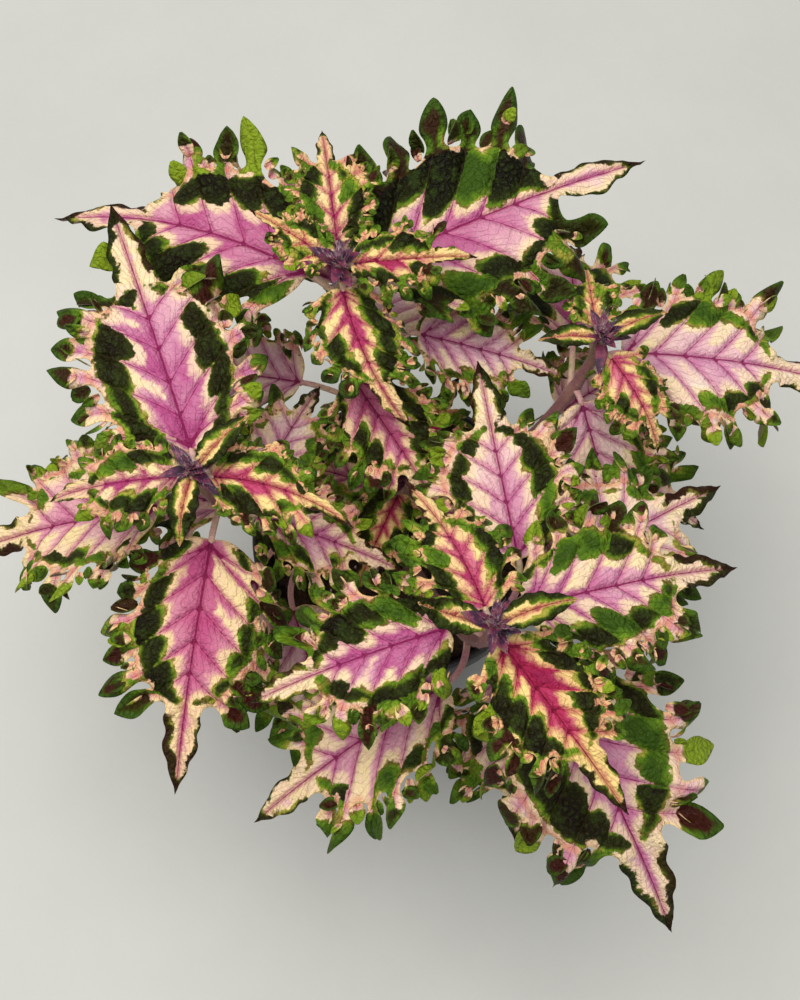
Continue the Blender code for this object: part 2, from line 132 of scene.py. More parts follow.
# The finer outline, in shares of the blade's length or of a lobe
NECK = 0.60
NECK_FROM = 0.10
WIDEST = 0.50
FINE_WIDTHS = (0.98, 1.12)
SINUS_LEVELS = (-0.16, 0.06)
SHALLOW_LEVELS = (0.16, 0.42)
SHALLOW_SHARE = 0.22
KEYHOLE = 0.30
LOBE_CURVES = (-0.10, 0.28)
BEAK_AT = (0.66, 0.72, 0.78, 0.85, 0.93, 1.0)
BEAK_PINCHED = (0.040, 0.058, 0.072, 0.055, 0.018, 0.0)
BEAK_PLAIN = (0.080, 0.074, 0.065, 0.049, 0.027, 0.0)
BEAK_WIDTHS = (0.85, 1.10)
BEAK_TEETH = 0.10
SMALL_MARGIN = (
    (0.0, 0.012), (0.02, 0.06), (0.10, 0.12), (0.30, 0.195), (0.55, 0.19), (0.80, 0.10), (1.0, 0.0),
)
SMALL_TEETH = 0.07

# The finer mesh: point spacing as a share of the length, with bounds in millimetres, and sheet thickness
STEP_SHARE = 0.0112
STEP_BOUNDS = (0.6, 1.15)
SHEET = 0.00042

# Relief of a blade in millimetres
QUILT = 1.0
QUILT_REACH = 3.4
GROOVE = 0.35
CRUMPLE = 0.40
CRUMPLE_SIZE = 6.0
RIDGE = 0.55

# Spacing of the thin veins between two side veins of a 100 mm leaf, in millimetres
SECOND_VEINS = 3.4

# Half-widths of the midrib and of a side vein, in millimetres: the least, what the foot of a 110 mm leaf
# has more, and the share of that which is lost by the end
MIDRIB_WIDTH = (0.15, 0.60, 0.85)
SIDE_VEIN_WIDTH = (0.10, 0.20, 0.80)

# What is taken off the dark field, in millimetres, where a sector or a lobe stays free of dark
SECTOR_PALE = 30
LOBE_PALE = 20

# Side veins leave the midrib this steeply, in degrees, and curve out into the lobes
VEIN_RISE = 50.0
VEIN_LEAVES = 44.0
VEIN_BEND = 0.45
FIRST_FOOT = 0.012

# How far the sectors at the foot and the tip reach from their one side vein, in shares of the length
SECTOR_EDGE = 0.07

# Each lobe's curl, twist and cup, and how much calmer the waves are on the tip, all as shares
LOBE_CURL = (-0.48, 0.30)
LOBE_TWIST = 0.42
LOBE_CUP = 0.9
TIP_CALM = 0.8

# Lobules: the small leaf-like teeth that stand up in the sinuses, in millimetres and degrees
LOBULE_LENGTHS = (5.5, 10.0)
LOBULE_WIDTHS = (0.50, 0.74)
LOBULE_RISES = (-35.0, 62.0)
LOBULE_TURNS = (-42.0, 42.0)
LOBULE_ROLLS = (-0.6, 0.6)
LOBULE_CURLS = (-1.3, 0.5)
LOBULE_CUPS = (-0.3, 0.7)
LOBULE_SHARE = 0.8
LOBULE_ROWS = 8
LOBULE_ACROSS = (-1.0, -0.55, 0.0, 0.55, 1.0)

# Seeds of the scene's own draws. The number of a leaf or a stem is added to the first two
FINE_SEED = 5000
TUFT_SEED = 900
SOIL_SEED = 41

# Stems and their tufts, sizes in metres
STEM_RINGS = 64
STALK_RINGS = 14
SWELLING = 0.16
SWELLING_REACH = 0.0028
BUD_PAIRS = 9
BUD_ROWS = 7
BUD_ACROSS = (-1, -0.5, 0, 0.5, 1)
BUD_SHEET = 0.00025
BUD_HAIRS = 34
STEM_HAIRS = 500
HAIR_RADIUS = 0.00006

# Loose grains on the soil: how many, and their least and largest size in metres
CRUMBS = (900, 0.0005, 0.0021)
PERLITE = (90, 0.0006, 0.0015)

# The studio's floor, sky and key light, and the camera of the photograph's view
FLOOR_HALF = 15
SKY_COLOUR = (0.94, 0.97, 1.0, 1)
SKY_STRENGTH = 0.47
KEY_POWER = 24
KEY_SIZE = 1.3
KEY_COLOUR = (1.0, 0.98, 0.95)
KEY_PLACE = (-0.22, -0.02, 1.5)
KEY_AIM = (0, 0, 0.15)
VIEW_RISE = 68
VIEW_TARGET = (0, -0.022, 0.205)
VIEW_DISTANCE = 0.521


class Leaf(NamedTuple):
    """A leaf in millimetres and degrees. Its stalk leaves the stem at height node."""

    node: float
    azimuth: float
    length: float
    pitch: float
    droop: float
    stalk: float = 18
    swing: float = 0
    roll: float = 0
    left: float = -22
    right: float = -22
    fold: float = 13
    sweep: float = 0
    frill: float = 0.045


class Stem(NamedTuple):
    """A leafy stem: where it leaves the soil, its growing tip, and its leaves."""

    name: str
    foot: tuple
    tip: tuple
    leaves: tuple


STEMS = (
    Stem(
        "leafy_stem_back",
        (-6, 12),
        (-22, 52, 252),
        (
            Leaf(249, 0, 46, 12, 20, stalk=5, left=-60, right=-60, fold=30),
            Leaf(249, 156, 34, 30, 20, stalk=5),
            Leaf(241, -80, 58, 5, 70, stalk=6, left=-50, right=-50, sweep=0.3),
            Leaf(242, 97, 50, 22, 45, stalk=13),
            Leaf(228, 148, 112, 0, 26, stalk=16, left=-75, right=20, sweep=0.22),
            Leaf(228, 27, 122, 4, 18, stalk=16, swing=20, left=14, right=-50),
            Leaf(204, -57, 66, -4, 25, stalk=22, swing=-27),
            Leaf(206, 105, 80, -10, 40, stalk=22),
            Leaf(200, -11, 64, -6, 24, stalk=28, swing=14, left=-12, right=-50),
            Leaf(166, 164, 76, -12, 34, stalk=26),
            Leaf(160, 80, 78, -12, 40, stalk=26),
        ),
    ),
    Stem(
        "leafy_stem_left",
        (-13, -4),
        (-72, -27, 245),
        (
            Leaf(243, 40, 26, 40, 50, stalk=3),
            Leaf(243, -100, 26, 20, 70, stalk=3),
            Leaf(238, 186, 50, 8, 46, stalk=6, left=-45, right=-30),
            Leaf(237, -4, 52, 8, 30, stalk=6, left=-35, right=-50, sweep=-0.25),
            Leaf(227, 109, 104, 12, 14, stalk=14, left=-25, right=-35),
            Leaf(208, -98, 96, -8, 36, stalk=16, left=-60, right=-38),
            Leaf(204, 183, 90, -15, 26, stalk=24, left=-2, right=-10),
            Leaf(198, -15, 62, -8, 28, stalk=10),
            Leaf(187, 66, 58, -4, 28, stalk=14),
            Leaf(160, 156, 76, -15, 35, stalk=24),
            Leaf(156, -120, 72, -20, 35, stalk=22),
            Leaf(133, -72, 80, -12, 34, stalk=34, swing=-36),
        ),
    ),
    Stem(
        "leafy_stem_front",
        (5, -13),
        (31, -86, 255),
        (
            Leaf(253, 172, 28, 20, -30, stalk=3, left=-60, right=-60),
            Leaf(253, 18, 27, 35, 60, stalk=3),
            Leaf(246, 110, 54, 6, 26, stalk=8, sweep=0.15),
            Leaf(244, -54, 70, 0, 30, stalk=5, left=-40, right=-30),
            Leaf(229, 197, 78, -4, 34, stalk=14, swing=-30, left=-30, right=-10),
            Leaf(231, 17, 88, -4, 30, stalk=16, swing=20, left=-10, right=-40),
            Leaf(210, 100, 84, 2, 14, stalk=32, swing=-38),
            Leaf(199, -59, 118, -14, 34, stalk=26, swing=36, left=-15, right=-60),
            Leaf(197, 34, 92, -5, 26, stalk=34),
            Leaf(188, -150, 98, -14, 36, stalk=22, swing=37, left=6, right=-40),
            Leaf(182, -84, 74, -26, 34, stalk=22, swing=40),
        ),
    ),
    Stem(
        "leafy_stem_right",
        (13, 4),
        (76, 35, 228),
        (
            Leaf(226, 15, 24, 40, 40, stalk=3),
            Leaf(226, 190, 24, 30, 40, stalk=3),
            Leaf(218, 94, 32, 2, 36, stalk=9),
            Leaf(220, -56, 44, 0, 66, stalk=7, left=-50, right=-50),
            Leaf(202, -1, 96, -2, 26, stalk=16, swing=25, left=-10, right=-48),
            Leaf(192, -72, 78, -22, 30, stalk=8),
            Leaf(188, 85, 80, -10, 40, stalk=20),
            Leaf(160, -20, 74, -20, 30, stalk=20),
            Leaf(154, 42, 74, -18, 36, stalk=22),
        ),
    ),
    Stem(
        "leafy_stem_centre",
        (0, 0),
        (2, 2, 172),
        (
            Leaf(170, -20, 24, 40, 40, stalk=3),
            Leaf(170, 160, 24, 40, 40, stalk=3),
            Leaf(163, 66, 48, 14, 30, stalk=6),
            Leaf(163, 246, 46, 10, 30, stalk=6),
            Leaf(146, 156, 48, 0, 35, stalk=8),
            Leaf(146, -24, 52, 0, 35, stalk=10),
        ),
    ),
)


class Look(NamedTuple):
    """How a leaf is coloured, each from 0 to 1.

    left and right are where each side's green band starts, as a share of the way out to the margin.
    """

    magenta: float
    fade: float
    cream: float
    left: float
    right: float
    maroon: float
    dark: float
    young: float
    neck: float = 0.75
    pinch: float = 0.3


YOUNG = Look(0.85, 0.5, 0.6, 0.34, 0.34, 0.6, 1.0, 1.0, neck=0.45)
MATURE = Look(0.66, 0.5, 0.6, 0.50, 0.50, 0.4, 0.75, 0.2)
OLD = Look(0.36, 0.5, 0.6, 0.72, 0.72, 0.1, 0.35, 0.0)

LOOKS = {
    ("leafy_stem_back", 0): Look(0.85, 0.3, 0.6, 0.30, 0.36, 0.5, 1.0, 0.9, neck=0.5),
    ("leafy_stem_back", 2): Look(0.90, 0.3, 0.5, 0.30, 0.38, 0.5, 1.0, 0.8),
    ("leafy_stem_back", 3): Look(0.80, 0.4, 0.6, 0.30, 0.30, 0.7, 0.9, 0.7),
    ("leafy_stem_back", 4): Look(0.72, 0.3, 0.3, 0.36, 0.36, 0.6, 0.8, 0.2, neck=0.6, pinch=0.8),
    ("leafy_stem_back", 5): Look(0.66, 0.2, 0.7, 0.20, 0.66, 0.3, 1.0, 0.15, neck=0.25, pinch=1.0),
    ("leafy_stem_back", 6): Look(0.66, 0.2, 0.3, 0.42, 0.46, 0.7, 1.0, 0.5),
    ("leafy_stem_back", 8): Look(0.42, 0.5, 0.5, 0.80, 0.74, 0.2, 0.6, 0.0),
    ("leafy_stem_left", 2): Look(0.90, 0.2, 0.4, 0.32, 0.34, 0.5, 0.9, 0.4),
    ("leafy_stem_left", 3): Look(0.80, 0.5, 0.9, 0.38, 0.32, 0.8, 1.0, 0.9),
    ("leafy_stem_left", 4): Look(0.78, 0.6, 0.25, 0.36, 0.46, 0.8, 0.9, 0.1, neck=0.9),
    ("leafy_stem_left", 5): Look(0.72, 0.3, 0.4, 0.56, 0.38, 0.6, 1.0, 0.45),
    ("leafy_stem_left", 6): Look(0.40, 0.2, 0.8, 0.66, 0.62, 0.7, 0.7, 0.3, neck=0.95),
    ("leafy_stem_front", 2): Look(0.75, 0.5, 0.5, 0.42, 0.45, 0.4, 1.0, 0.8),
    ("leafy_stem_front", 3): Look(0.95, 0.3, 0.4, 0.52, 0.40, 0.7, 1.0, 1.0),
    ("leafy_stem_front", 4): Look(0.74, 0.3, 0.7, 0.50, 0.34, 0.6, 1.0, 0.1),
    ("leafy_stem_front", 5): Look(0.60, 0.4, 0.7, 0.52, 0.36, 0.6, 0.8, 0.1, neck=0.9),
    ("leafy_stem_front", 6): Look(0.50, 0.5, 0.7, 0.60, 0.46, 0.5, 0.8, 0.1, neck=0.95),
    ("leafy_stem_front", 7): Look(0.52, 0.1, 0.5, 0.48, 0.42, 0.9, 0.7, 0.1, neck=0.95, pinch=0.1),
    ("leafy_stem_front", 9): Look(0.42, 0.2, 0.9, 0.55, 0.58, 0.3, 0.5, 0.2),
    ("leafy_stem_right", 3): Look(0.70, 0.5, 0.6, 0.50, 0.40, 0.4, 0.9, 0.9),
    ("leafy_stem_right", 4): Look(0.44, 0.2, 0.5, 0.56, 0.52, 0.4, 0.25, 0.0, neck=0.6),
    ("leafy_stem_right", 5): Look(0.30, 0.5, 1.0, 0.78, 0.70, 0.1, 0.4, 0.0),
}


def smoothstep(low, high, value):
    share = np.clip((value - low) / (high - low), 0, 1)
    return share * share * (3 - 2 * share)


def path_table(angle_at, reach):
    """Distances along a bent line, and its run and rise there, for an angle that changes with distance."""
    along = np.linspace(0, reach, BEND_STEPS)
    angle = angle_at(along)
    step = np.diff(along)
    middle = (angle[1:] + angle[:-1]) / 2
    run = np.concatenate([[0], np.cumsum(np.cos(middle) * step)])
    rise = np.concatenate([[0], np.cumsum(np.sin(middle) * step)])
    return along, run, rise


def inside(points, outline):
    """Which points lie inside a closed outline, by counting the edges to one side of each."""
    x, y = points[:, :1], points[:, 1:]
    x0, y0 = outline[:, 0], outline[:, 1]
    x1, y1 = np.roll(x0, -1), np.roll(y0, -1)
    level = np.where(y1 == y0, 1.0, y1 - y0)
    crossed = ((y0 > y) != (y1 > y)) & (x < x0 + (y - y0) / level * (x1 - x0))
    return crossed.sum(axis=1) % 2 == 1


class Lobe(NamedTuple):
    """One lobe of the cut margin, in shares of the blade's length, on the side where y is positive."""

    root: np.ndarray
    axis: np.ndarray
    ahead: np.ndarray
    length: float
    half_width: float
    lift: float


def vein_angle(start):
    """The angle between the midrib and the side vein that leaves it at start."""
    return np.radians(VEIN_ANGLE - VEIN_TURN * start)


def core_reach(start):
    """The length of a side vein from the midrib to the margin between the lobes."""
    reach = CORE_WIDTH * np.sin(math.pi * (CORE_SQUEEZE * np.asarray(start) + CORE_START))
    return np.maximum(reach, NARROWEST_CORE)


def on_vein(start, share):
    """The point at that share of the way from the midrib to the margin, along the vein from start."""
    angle = vein_angle(start)
    reach = core_reach(start) * share
    return np.array([start + reach * np.cos(angle), reach * np.sin(angle)])


def bezier(a, b, c, d, count):
    """Points on a cubic curve from a towards d, with d left out."""
    t = np.linspace(0, 1, count, endpoint=False)[:, None]
    return a * (1 - t) ** 3 + b * 3 * t * (1 - t) ** 2 + c * 3 * t * t * (1 - t) + d * t**3


def keyhole(here, there, behind, ahead, bottom):
    """The rounded sinus between two lobes, from the neck of one to the neck of the next."""
    gap = np.linalg.norm(there - here)
    reach = max(np.linalg.norm((here + there) / 2 - bottom), gap * 0.5) / 0.75
    first = here - behind.axis * reach - behind.ahead * gap * KEYHOLE
    second = there - ahead.axis * reach + ahead.ahead * gap * KEYHOLE
    return bezier(here, first, second, there, 12)


def through(points, per_span):
    """A smooth line through the points, its ends included."""
    points = np.array(points, float)
    padded = np.concatenate([[2 * points[0] - points[1]], points, [2 * points[-1] - points[-2]]])
    t = np.linspace(0, 1, per_span, endpoint=False)[:, None]
    spans = []
    for a, b, c, d in zip(padded, padded[1:], padded[2:], padded[3:]):
        square, cube = a - 2.5 * b + 2 * c - d / 2, 1.5 * (b - c) + (d - a) / 2
        spans.append(b + (c - a) / 2 * t + square * t**2 + cube * t**3)
    return np.concatenate([*spans, points[-1:]])


def resample(points, step):
    """The same line with its points a step apart, its first and last kept."""
    lengths = np.concatenate([[0], np.cumsum(np.linalg.norm(np.diff(points, axis=0), axis=1))])
    count = max(int(round(lengths[-1] / step)), 2)
    along = np.linspace(0, lengths[-1], count + 1)
    return np.stack([np.interp(along, lengths, points[:, k]) for k in range(2)], axis=1)


def nearest(tree_points, points):
    """For each point, the distance to the nearest of tree_points and its index."""
    tree = kdtree.KDTree(len(tree_points))
    for index, (x, y) in enumerate(tree_points):
        tree.insert((x, y, 0), index)
    tree.balance()
    found = [tree.find((x, y, 0)) for x, y in points]
    return np.array([f[2] for f in found]), np.array([f[1] for f in found])


def on_beak(flat):
    """1 on the narrow tip beyond the last lobes, and 0 elsewhere."""
    return smoothstep(0.60, 0.70, flat[:, 0]) * smoothstep(0.16, 0.10, np.abs(flat[:, 1]))


def lobe_profile(u):
    """A lobe's half-width from its neck to its point, 1 at its widest."""
    rising = NECK + (1 - NECK) * smoothstep(0, 1, u / WIDEST)
    past = np.clip((u - WIDEST) / (1 - WIDEST), 0, 1)
    return np.where(u < WIDEST, rising, (1 - past**1.7) ** 0.9)


class Blade:
    """A leaf blade: the part's own form, with a finer outline, mesh and colour fields."""

    def __init__(self, leaf, seed, pinch=0.4):
        self.leaf = leaf
        self.pinch = pinch
        self.length = leaf.length * MM
        self.count = next(n for least, n in LOBES_BY_LENGTH if leaf.length >= least)
        draw = random.Random(seed)
        self.sides = [self.draw_lobes(draw) for _ in range(2)]
        self.phase = [draw.uniform(-WAVE_SHIFT, WAVE_SHIFT) for _ in range(2)]
        self.sweep = leaf.sweep + draw.uniform(-SWEEP_SHIFT, SWEEP_SHIFT)
        self.midrib = path_table(self.pitch_at, MIDRIB_REACH)
        self.halves = [path_table(self.half_angle(bend), HALF_REACH) for bend in (leaf.left, leaf.right)]
        self.draw = random.Random(seed + FINE_SEED)
        self.curves = [[self.draw.uniform(*LOBE_CURVES) for _ in lobes] for lobes in self.sides]

    def pitch_at(self, along):
        return np.radians(self.leaf.pitch - self.leaf.droop * np.maximum(along, 0) ** DROOP_POWER)

    def half_angle(self, bend):
        return lambda across: np.radians(self.leaf.fold + bend * across / PROFILE_REACH)

    def starts(self):
        """Where the side veins leave the midrib."""
        return np.linspace(FIRST_VEIN, LAST_VEIN, max(self.count, 2))

    def spacing(self):
        return (LAST_VEIN - FIRST_VEIN) / max(self.count - 1, 1)

    def draw_lobes(self, draw):
        """The lobes of one side, from the foot to the tip."""
        lobes = []
        for i in range(self.count):
            share = i / (self.count - 1)
            start = self.starts()[i]
            angle = vein_angle(start) + math.radians(draw.uniform(-LOBE_TURN, LOBE_TURN))
            lobes.append(
                Lobe(
                    root=on_vein(start, 1.0),
                    axis=np.array([math.cos(angle), math.sin(angle)]),
                    ahead=np.array([math.sin(angle), -math.cos(angle)]),
                    length=(LOBE_SHORT + LOBE_GROWTH * share) * draw.uniform(*LOBE_LENGTHS),
                    half_width=LOBE_HALF_WIDTH * self.spacing() * draw.uniform(*LOBE_WIDTHS),
                    lift=draw.uniform(-1, 1),
                )
            )
        return lobes

    def lobe_middle(self, lobe, curve, u):
        """Points on a lobe's curved middle line at shares u of its length."""
        return lobe.root + lobe.axis * lobe.length * u + lobe.ahead * lobe.length * curve * u * u

    def lobe_edge(self, lobe, curve, start, way):
        """One edge of a lobe from its neck at start to its point, behind or ahead of its middle line."""
        u = np.linspace(start, 1, 14)[:, None]
        width = self.draw.uniform(*FINE_WIDTHS) * lobe.half_width * lobe_profile(u)
        return self.lobe_middle(lobe, curve, u) + way * lobe.ahead * width

    def side_margin(self, side):
        """One half of the finer outline, from the stalk to the tip, and the bottoms of its sinuses."""
        if not self.count:
            line = through(SMALL_MARGIN, 10)
            waved = 1 + SMALL_TEETH * np.sin(line[:, 0] * 2 * math.pi * 5.5)
            return line * np.stack([np.ones(len(line)), waved], axis=1), []
        lobes, curves, starts = self.sides[side], self.curves[side], self.starts()
        levels = [self.sinus_level() for _ in lobes[1:]]
        pieces, bottoms = [], []
        here = np.array([0, 0.012])
        for i, (lobe, curve) in enumerate(zip(lobes, curves)):
            before = levels[i - 1] if i else 0.0
            after = levels[i] if i < len(levels) else 0.0
            back = self.lobe_edge(lobe, curve, NECK_FROM + max(before, 0), -1)
            front = self.lobe_edge(lobe, curve, NECK_FROM + max(after, 0), 1)
            if i:
                between = (starts[i - 1] + starts[i]) / 2
                outward = (lobes[i - 1].axis + lobe.axis) / 2
                bottom = on_vein(between, 1.0) + outward * lobe.length * before
                pieces.append(keyhole(here, back[0], lobes[i - 1], lobe, bottom))
                bottoms.append(bottom)
            else:
                pieces.append(bezier(here, np.array([-0.028, 0.07]), back[0] - lobe.axis * 0.05, back[0], 14))
            pieces += [back[:-1], front[::-1][:-1]]
            here = front[0]
        width = self.draw.uniform(*BEAK_WIDTHS)
        half = [width * (a + (b - a) * self.pinch) for a, b in zip(BEAK_PLAIN, BEAK_PINCHED)]
        beak = through(list(zip(BEAK_AT, half)), 6)
        beak[:, 1] *= 1 + BEAK_TEETH * np.sin((beak[:, 0] - 0.66) * 2 * math.pi * 9)
        handles = (here - lobes[-1].axis * 0.035, beak[0] - np.array([0.03, 0.0]))
        pieces.append(bezier(here, *handles, beak[0], 8))
        bottoms.append(np.array([0.645, beak[0][1]]))
        return np.concatenate([*pieces, beak]), bottoms

    def sinus_level(self):
        """How far a sinus bottom lies beyond the core's margin, as a share of a lobe."""
        shallow = self.draw.random() < SHALLOW_SHARE
        return self.draw.uniform(*(SHALLOW_LEVELS if shallow else SINUS_LEVELS))

    def vein_lines(self, side):
        """Each side vein of one half, from the midrib out into its lobe."""
        lines = []
        for i, (lobe, curve) in enumerate(zip(self.sides[side], self.curves[side])):
            reach = lobe.root[1] / math.tan(math.radians(VEIN_RISE))
            foot = np.array([max(lobe.root[0] - reach, FIRST_FOOT * (i + 1)), 0.0])
            away = VEIN_BEND * np.linalg.norm(lobe.root - foot)
            leaves = math.radians(VEIN_LEAVES)
            control = foot + away * np.array([math.cos(leaves), math.sin(leaves)])
            t = np.linspace(0, 0.96, 18)[:, None]
            inner = foot * (1 - t) ** 2 + control * 2 * t * (1 - t) + lobe.root * t * t
            outer = [self.lobe_middle(lobe, curve, u) for u in np.linspace(0.05, 0.88, 8)]
            lines.append(np.concatenate([inner, np.array(outer)]))
        return lines

    def vein_place(self, flat):
        """Where each point's side vein leaves the midrib, and how far out the point lies, 1 at a sinus."""
        x, across = flat[:, 0], np.abs(flat[:, 1])
        start = x - across
        for _ in range(VEIN_STEPS):
            start = np.clip(x - across / np.tan(vein_angle(start)), *VEIN_BOUNDS)
        return start, across / np.sin(vein_angle(start)) / core_reach(start)

    def frill(self, flat, is_left):
        """How far the waved margin and the single lobes lift off the blade's plain curve."""
        start, out = self.vein_place(flat)
        index = (start - FIRST_VEIN) / self.spacing()
        phase = np.where(is_left, *self.phase)
        lift = self.leaf.frill * np.cos(math.pi * index + phase) * smoothstep(*WAVE_OUT, out)
        if self.count:
            steps = np.arange(self.count)
            lifts = [np.interp(index, steps, [lobe.lift for lobe in lobes]) for lobes in self.sides]
            lift += LOBE_LIFT * np.where(is_left, *lifts) * np.clip(out - 1, 0, LIFT_REACH) ** 2
        lift *= 1 - TIP_CALM * on_beak(flat)
        return lift * (1 - smoothstep(*CALM_TIP, start))

    def place(self, flat, base, extra=0.0):
        """The flat points bent to the leaf's form, with the blade's foot at base."""
        x, across, is_left = flat[:, 0], np.abs(flat[:, 1]), flat[:, 1] >= 0
        lateral, rise = (
            np.where(is_left, *(np.interp(across, half[0], half[k]) for half in self.halves))
            for k in (1, 2)
        )
        rise = rise + self.frill(flat, is_left) + extra
        lateral = lateral * np.where(is_left, 1, -1) + self.sweep * x * x
        roll = math.radians(self.leaf.roll)
        lateral, rise = (
            lateral * math.cos(roll) - rise * math.sin(roll),
            lateral * math.sin(roll) + rise * math.cos(roll),
        )
        pitch = self.pitch_at(x)
        heading = math.radians(self.leaf.azimuth)
        forward = np.interp(x, self.midrib[0], self.midrib[1]) - np.sin(pitch) * rise
        up = np.interp(x, self.midrib[0], self.midrib[2]) + np.cos(pitch) * rise
        ahead = np.array([math.cos(heading), math.sin(heading), 0])
        aside = np.array([-math.sin(heading), math.cos(heading), 0])
        placed = forward[:, None] * ahead + lateral[:, None] * aside
        placed[:, 2] = up
        return base + placed * self.length

    def fine_flat(self):
        """The finer blade, flat: its points, faces, outline and sinus bottoms, and its vein lines."""
        step = min(max(STEP_SHARE * self.leaf.length, STEP_BOUNDS[0]), STEP_BOUNDS[1]) / self.leaf.length
        mirror = np.array([1, -1])
        left, sinus_left = self.side_margin(0)
        right, sinus_right = self.side_margin(1)
        foot = np.array([[0, -0.012]])
        left, right = resample(left, step * 0.8), resample(right, step * 0.8) * mirror
        around = np.concatenate([foot, left, right[::-1][1:-1]])
        outline = around[::-1]
        midrib = np.stack([np.arange(step, 0.985, step), np.zeros(len(np.arange(step, 0.985, step)))], axis=1)
        lines = [resample(line, step)[1:] for line in self.vein_lines(0)]
        lines += [resample(line, step)[1:] * mirror for line in self.vein_lines(1)]
        fixed = np.concatenate([midrib, *lines])
        grid = hex_grid(outline, step)
        far = (nearest(fixed, grid)[0] > step * 0.6) & (nearest(outline, grid)[0] > step * 0.62)
        grid = grid[far & inside(grid, outline)]
        points = np.concatenate([outline, fixed, grid])
        edges = [(i, (i + 1) % len(outline)) for i in range(len(outline))]
        at = len(outline)
        for line in [midrib, *lines]:
            edges += [(at + i, at + i + 1) for i in range(len(line) - 1)]
            at += len(line)
        made = delaunay_2d_cdt([tuple(p) for p in points], edges, [], 0, 1e-6, False)
        points = np.array([tuple(p) for p in made[0]])
        faces = np.array([tuple(f) for f in made[2]])
        faces = faces[inside(points[faces].mean(axis=1), outline)]
        sinuses = np.array([*sinus_left, *[b * mirror for b in sinus_right]]) if self.count else None
        return points, faces, outline, sinuses, [midrib, *lines]


def hex_grid(outline, step):
    low, high = outline.min(axis=0), outline.max(axis=0)
    rows = []
    for number, y in enumerate(np.arange(low[1], high[1], step * 0.866)):
        x = np.arange(low[0] + (number % 2) * step / 2, high[0], step)
        rows.append(np.stack([x, np.full(len(x), y)], axis=1))
    return np.concatenate(rows)


def lobe_place(blade, flat):
    """For each point: the lobe it is nearest to, and its place along and across that lobe."""
    best = np.full(len(flat), 9.0)
    number = np.full(len(flat), -1)
    along = np.full(len(flat), -1.0)
    across = np.zeros(len(flat))
    for side in range(2):
        mirrored = flat * np.array([1, 1 if side == 0 else -1])
        for index, lobe in enumerate(blade.sides[side]):
            offset = mirrored - lobe.root
            u = offset @ lobe.axis / lobe.length
            v = (offset @ lobe.ahead - blade.curves[side][index] * lobe.length * u * u) / lobe.half_width
            closer = (np.abs(v) < np.minimum(best, 1.7)) & (u > -0.2) & (mirrored[:, 1] > 0)
            best[closer] = np.abs(v)[closer]
            number[closer] = side * blade.count + index
            along[closer] = u[closer]
            across[closer] = v[closer]
    return number, along, across


def sector_place(blade, points):
    """Which sector between side veins each point lies in, and how near it is to a vein, 1 on one."""
    sector = np.zeros(len(points), int)
    near = np.zeros(len(points))
    for side in range(2):
        mine = (points[:, 1] >= 0) == (side == 0)
        at = np.abs(points[mine] * np.array([0, 1])) + points[mine] * np.array([1, 0])
        signed = []
        for line in blade.vein_lines(side):
            offsets = at[:, None] - line[None]
            closest = (offsets**2).sum(axis=2).argmin(axis=1)
            along = np.gradient(line, axis=0)[closest]
            offset = at - line[closest]
            ahead = offset[:, 0] * along[:, 1] - offset[:, 1] * along[:, 0]
            distance = np.linalg.norm(offset, axis=1)
            signed.append(np.where(ahead > 0, distance, -distance))
        signed = np.array(signed)
        passed = (signed > 0).sum(axis=0)
        every = np.arange(len(at))
        last = len(signed) - 1
        lower = np.abs(signed[np.clip(passed - 1, 0, last), every])
        upper = np.abs(signed[np.clip(passed, 0, last), every])
        between = np.abs(2 * lower / np.maximum(lower + upper, 1e-9) - 1)
        open_end = 1 - np.clip(np.where(passed == 0, upper, lower) / SECTOR_EDGE, 0, 1)
        sector[mine] = passed
        near[mine] = np.where((passed == 0) | (passed > last), open_end, between)
    return sector, np.clip(near, 0, 0.999)


def look_of(stem, order):
    """The leaf's colouring: its own where the photograph shows it, and otherwise by its age."""
    known = LOOKS.get((stem.name, order))
    if known:
        return known
    length = stem.leaves[order].length
    from_top = stem.tip[2] - stem.leaves[order].node
    if from_top < 14 or length < 40:
        return YOUNG
    return MATURE if from_top < 50 else OLD


class Coat(NamedTuple):
    """What the leaf material reads at each point, in millimetres unless it says otherwise."""

    flat: np.ndarray
    fields: np.ndarray
    veins: np.ndarray
    rim: np.ndarray
    kind: np.ndarray


def triples(*values):
    """Three values at every point, each an array or one number for all, as rows of three."""
    return np.stack(np.broadcast_arrays(*values), axis=1).astype(float)


def vein_distance(lines, size, points):
    """Each point's distance from the nearest vein's middle and that vein's half-width, in millimetres."""
    samples, widths = [], []
    for number, line in enumerate(lines):
        fine = resample(line, 0.4 / size)
        least, more, taper = SIDE_VEIN_WIDTH if number else MIDRIB_WIDTH
        samples.append(fine)
        widths.append(least + more * (size / 110) * (1 - taper * np.linspace(0, 1, len(fine))))
    distance, index = nearest(np.concatenate(samples), points)
    return distance * size, np.concatenate(widths)[index]


